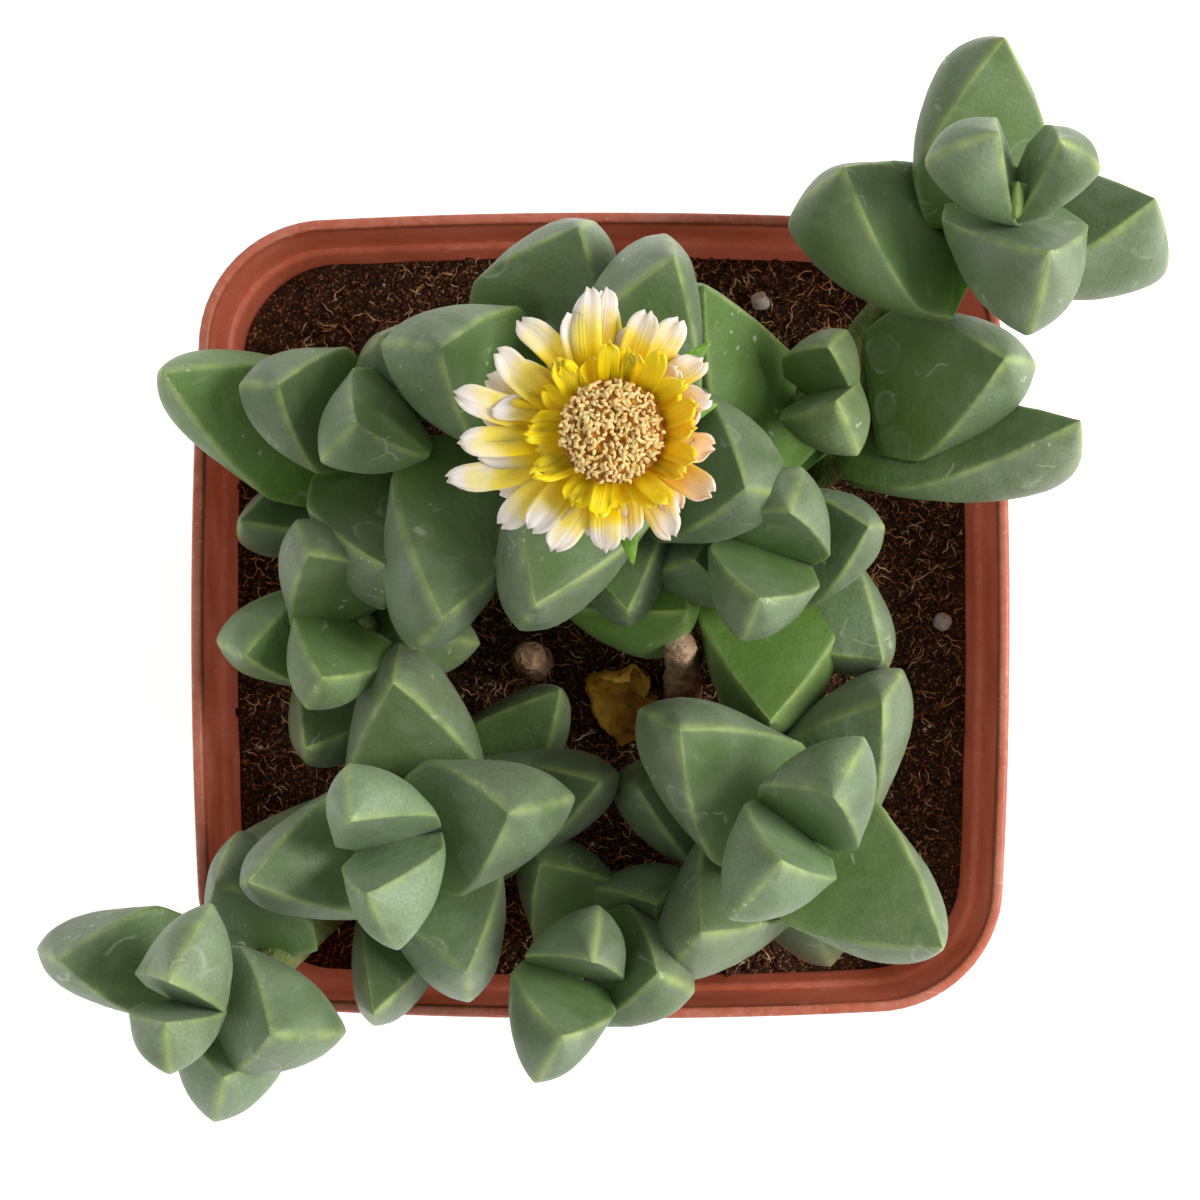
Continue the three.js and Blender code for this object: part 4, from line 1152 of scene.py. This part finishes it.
# The filaments make a dense dome, sunk at its middle. Their anthers stand crowded over it.
def makeStamens(low):
    heap = Heap()
    ax, ay = flower["at"]
    reach, around, steps = flower["stamenReach"], 60, 14
    rows = [(reach * 0.62, low), (reach * 0.72, low + 1), (reach * 0.9, low + 2.2)]
    for s in np.linspace(1, 0.06, steps):
        rows.append((reach * s, low + 2.6 + 1.5 * (1 - s**2.5) - 0.8 * (1 - s) ** 3))
    points = lathe(ax, ay, low, rows, low + 3.2, around)
    for p in points[1:-1]:
        if p[2] > low + 2.4:
            p[2] += 0.5 * wobble(*p * 1.1)
    heap.add(points, ringFaces(len(rows), around), 0)
    dome = heap.make("stamen_boss", [materials["filament"]])
    settle(dome, "stamen", "flower_stamens")
    area = pi * (reach * mm) ** 2
    anthers = scatter(
        "anthers", dome, [antherShape(k, materials["anther"]) for k in range(7)], materials["anther"],
        Density=flower["stamens"] / area, Gap=flower["stamenGap"] * mm, Smallest=0.75, Largest=1.15,
        Tilt=1.25, Lift=0.12 * mm, Reach=1.0, Seed=3,
    )
    settle(anthers, "stamen")


def makeFlower():
    keys = ("along", "across", "kind", "warm")
    low = flower["calyxTop"] + soil["gap"]
    heap = Heap(*keys)
    top = low + flower["ringHeight"]
    addDisc(heap, flower["outerRing"], low, top, along=0.0, across=0.5, kind=0.0, warm=0.2)
    for i, (azimuth, reach) in enumerate(outerPetals):
        rise = petalRise(azimuth) + swing[i % 6]
        foot, height = flower["outerRing"] - 1, low + flower["ringHeight"] / 2
        addPetal(heap, azimuth, rise, foot, height, reach, 1.42, 1.2, i, 0.4, warmth(azimuth))
        following = outerPetals[(i + 1) % len(outerPetals)]
        between = azimuth + ((following[0] - azimuth) % 360) / 2
        shorter = 0.88 * min(reach, following[1])
        addPetal(heap, between, rise - 3.5, foot, height, shorter, 1.3, 1.2, i + 40, 0.3, warmth(between))
    settle(heap.make("white_petals", [materials["whitePetal"]]), "white_petal", "flower_outer_petals")

    low += flower["ringHeight"] + soil["gap"]
    heap = Heap(*keys)
    top = low + flower["ringHeight"]
    addDisc(heap, flower["innerRing"], low, top, along=0.0, across=0.5, kind=0.0, warm=0.1)
    for i in range(flower["innerCount"]):
        azimuth = 360 * i / flower["innerCount"] + swing[(i * 5) % 6] * 0.6
        rise = petalRise(azimuth) + flower["innerLift"] + swing[i % 6] * 0.8
        reach = flower["innerReach"] + swing[(i * 7) % 6] * 0.08
        foot, height = flower["innerRing"] - 0.9, low + flower["ringHeight"] / 2
        addPetal(heap, azimuth, rise, foot, height, reach, 1.0, 0.3, i + 90, 0.5, warmth(azimuth) * 0.8)
    settle(heap.make("yellow_petals", [materials["yellowPetal"]]), "yellow_petal", "flower_inner_petals")

    makeStamens(low + flower["ringHeight"] + soil["gap"])


def makeCalyx():
    ax, ay = flower["at"]
    top = flower["calyxTop"]
    heap = Heap()
    foot = placed((1, 18, flower["pedicelFoot"]))
    spots = [foot] + [vec(ax, ay, top - drop) for drop in (5, 3.6, 2.2, 0.9, 0)]
    radii = [flower["pedicelRadius"], flower["pedicelRadius"], 2.4, 3.7, 4.5, flower["calyxRadius"]]
    path = smoothPath(spots, 5)
    fine = np.interp(np.linspace(0, 5, len(path)), range(6), radii)
    addTube(heap, path, list(fine), 28, 0)
    for azimuth, reach in sepals:
        outward, side = compass(radians(azimuth))
        points, rings = [vec(ax, ay, top - 1.5) + outward * 2.6], 16
        for i in range(rings):
            s = i / rings
            centre = vec(ax, ay, top - 1.5 - 1.2 * s * s) + outward * (3 + (reach - 3) * s)
            half = 1.9 * (1 - s**1.7) + 0.05
            points += circle(centre, side * half, vec(0, 0, 0.55 * (1 - 0.7 * s)), 1, 12)
        points.append(vec(ax, ay, top - 2.7) + outward * reach)
        heap.add(points, ringFaces(rings, 12))
    settle(heap.make("calyx_skin", [materials["sepal"]]), "sepal_skin", "flower_calyx")


makeFlower()
makeCalyx()
print("stage: flower made")


# What a user would change about the light: lamps' places in metres, and their power in watts
light = dict(
    keyPlace=(0.56, 0.06, 0.55), keyEnergy=5.4, keySize=0.4, fillPlace=(-0.5, -0.35, 0.7),
    fillEnergy=1.0, fillSize=0.6, lookAt=(0, 0, 0.09), world=0.45, floorGlow=0.6, floorHalf=2,
)


# Floor, camera and lights
def makeStage():
    mesh = bpy.data.meshes.new("floor")
    side = light["floorHalf"]
    corners = [(-side, -side, 0), (side, -side, 0), (side, side, 0), (-side, side, 0)]
    mesh.from_pydata(corners, [], [(0, 1, 2, 3)])
    floor = addObject("floor", mesh)
    material, tree, shader, place = startMaterial("white_card", Roughness=0.9, Specular_IOR_Level=0.1)
    paper = painted(tree, "f6f6f5", (patches(place, 30, 0.4, 0.6), "fbfbfa"))
    tree.links.new(paper, shader.inputs["Base Color"])
    shader.inputs["Emission Color"].default_value = (1, 1, 1, 1)
    shader.inputs["Emission Strength"].default_value = light["floorGlow"]
    mesh.materials.append(material)

    view = bpy.data.cameras.new("camera")
    view.lens = camera["lens"]
    view.sensor_width = camera["sensor"]
    view.clip_start, view.clip_end = 0.01, 20
    made = addObject("camera", view)
    eye, aim = Vector(camera["eye"]) * mm, Vector(camera["aim"]) * mm
    made.location = eye
    made.rotation_mode = "QUATERNION"
    back = (eye - aim).normalized()
    right = Vector((0, 1, 0)).cross(back).normalized()
    turn = Matrix((right, back.cross(right), back)).transposed()
    made.rotation_quaternion = turn.to_quaternion()
    bpy.context.scene.camera = made

    def area(name, place, size, energy, colour):
        lamp = bpy.data.lights.new(name, "AREA")
        lamp.shape = "DISK"
        lamp.size = size
        lamp.energy = energy
        lamp.color = colour
        made = addObject(name, lamp)
        made.location = place
        made.rotation_mode = "QUATERNION"
        made.rotation_quaternion = (Vector(light["lookAt"]) - made.location).to_track_quat("-Z", "Y")

    area("key", light["keyPlace"], light["keySize"], light["keyEnergy"], (1, 0.985, 0.96))
    area("fill", light["fillPlace"], light["fillSize"], light["fillEnergy"], (0.95, 0.98, 1))
    world = bpy.data.worlds.new("world")
    world.use_nodes = True
    sky = world.node_tree.nodes["Background"]
    sky.inputs["Color"].default_value = (1, 1, 1, 1)
    sky.inputs["Strength"].default_value = light["world"]
    bpy.context.scene.world = world
    bpy.context.scene.view_settings.view_transform = "Standard"


makeStage()
print("stage: floor, lights and camera made")
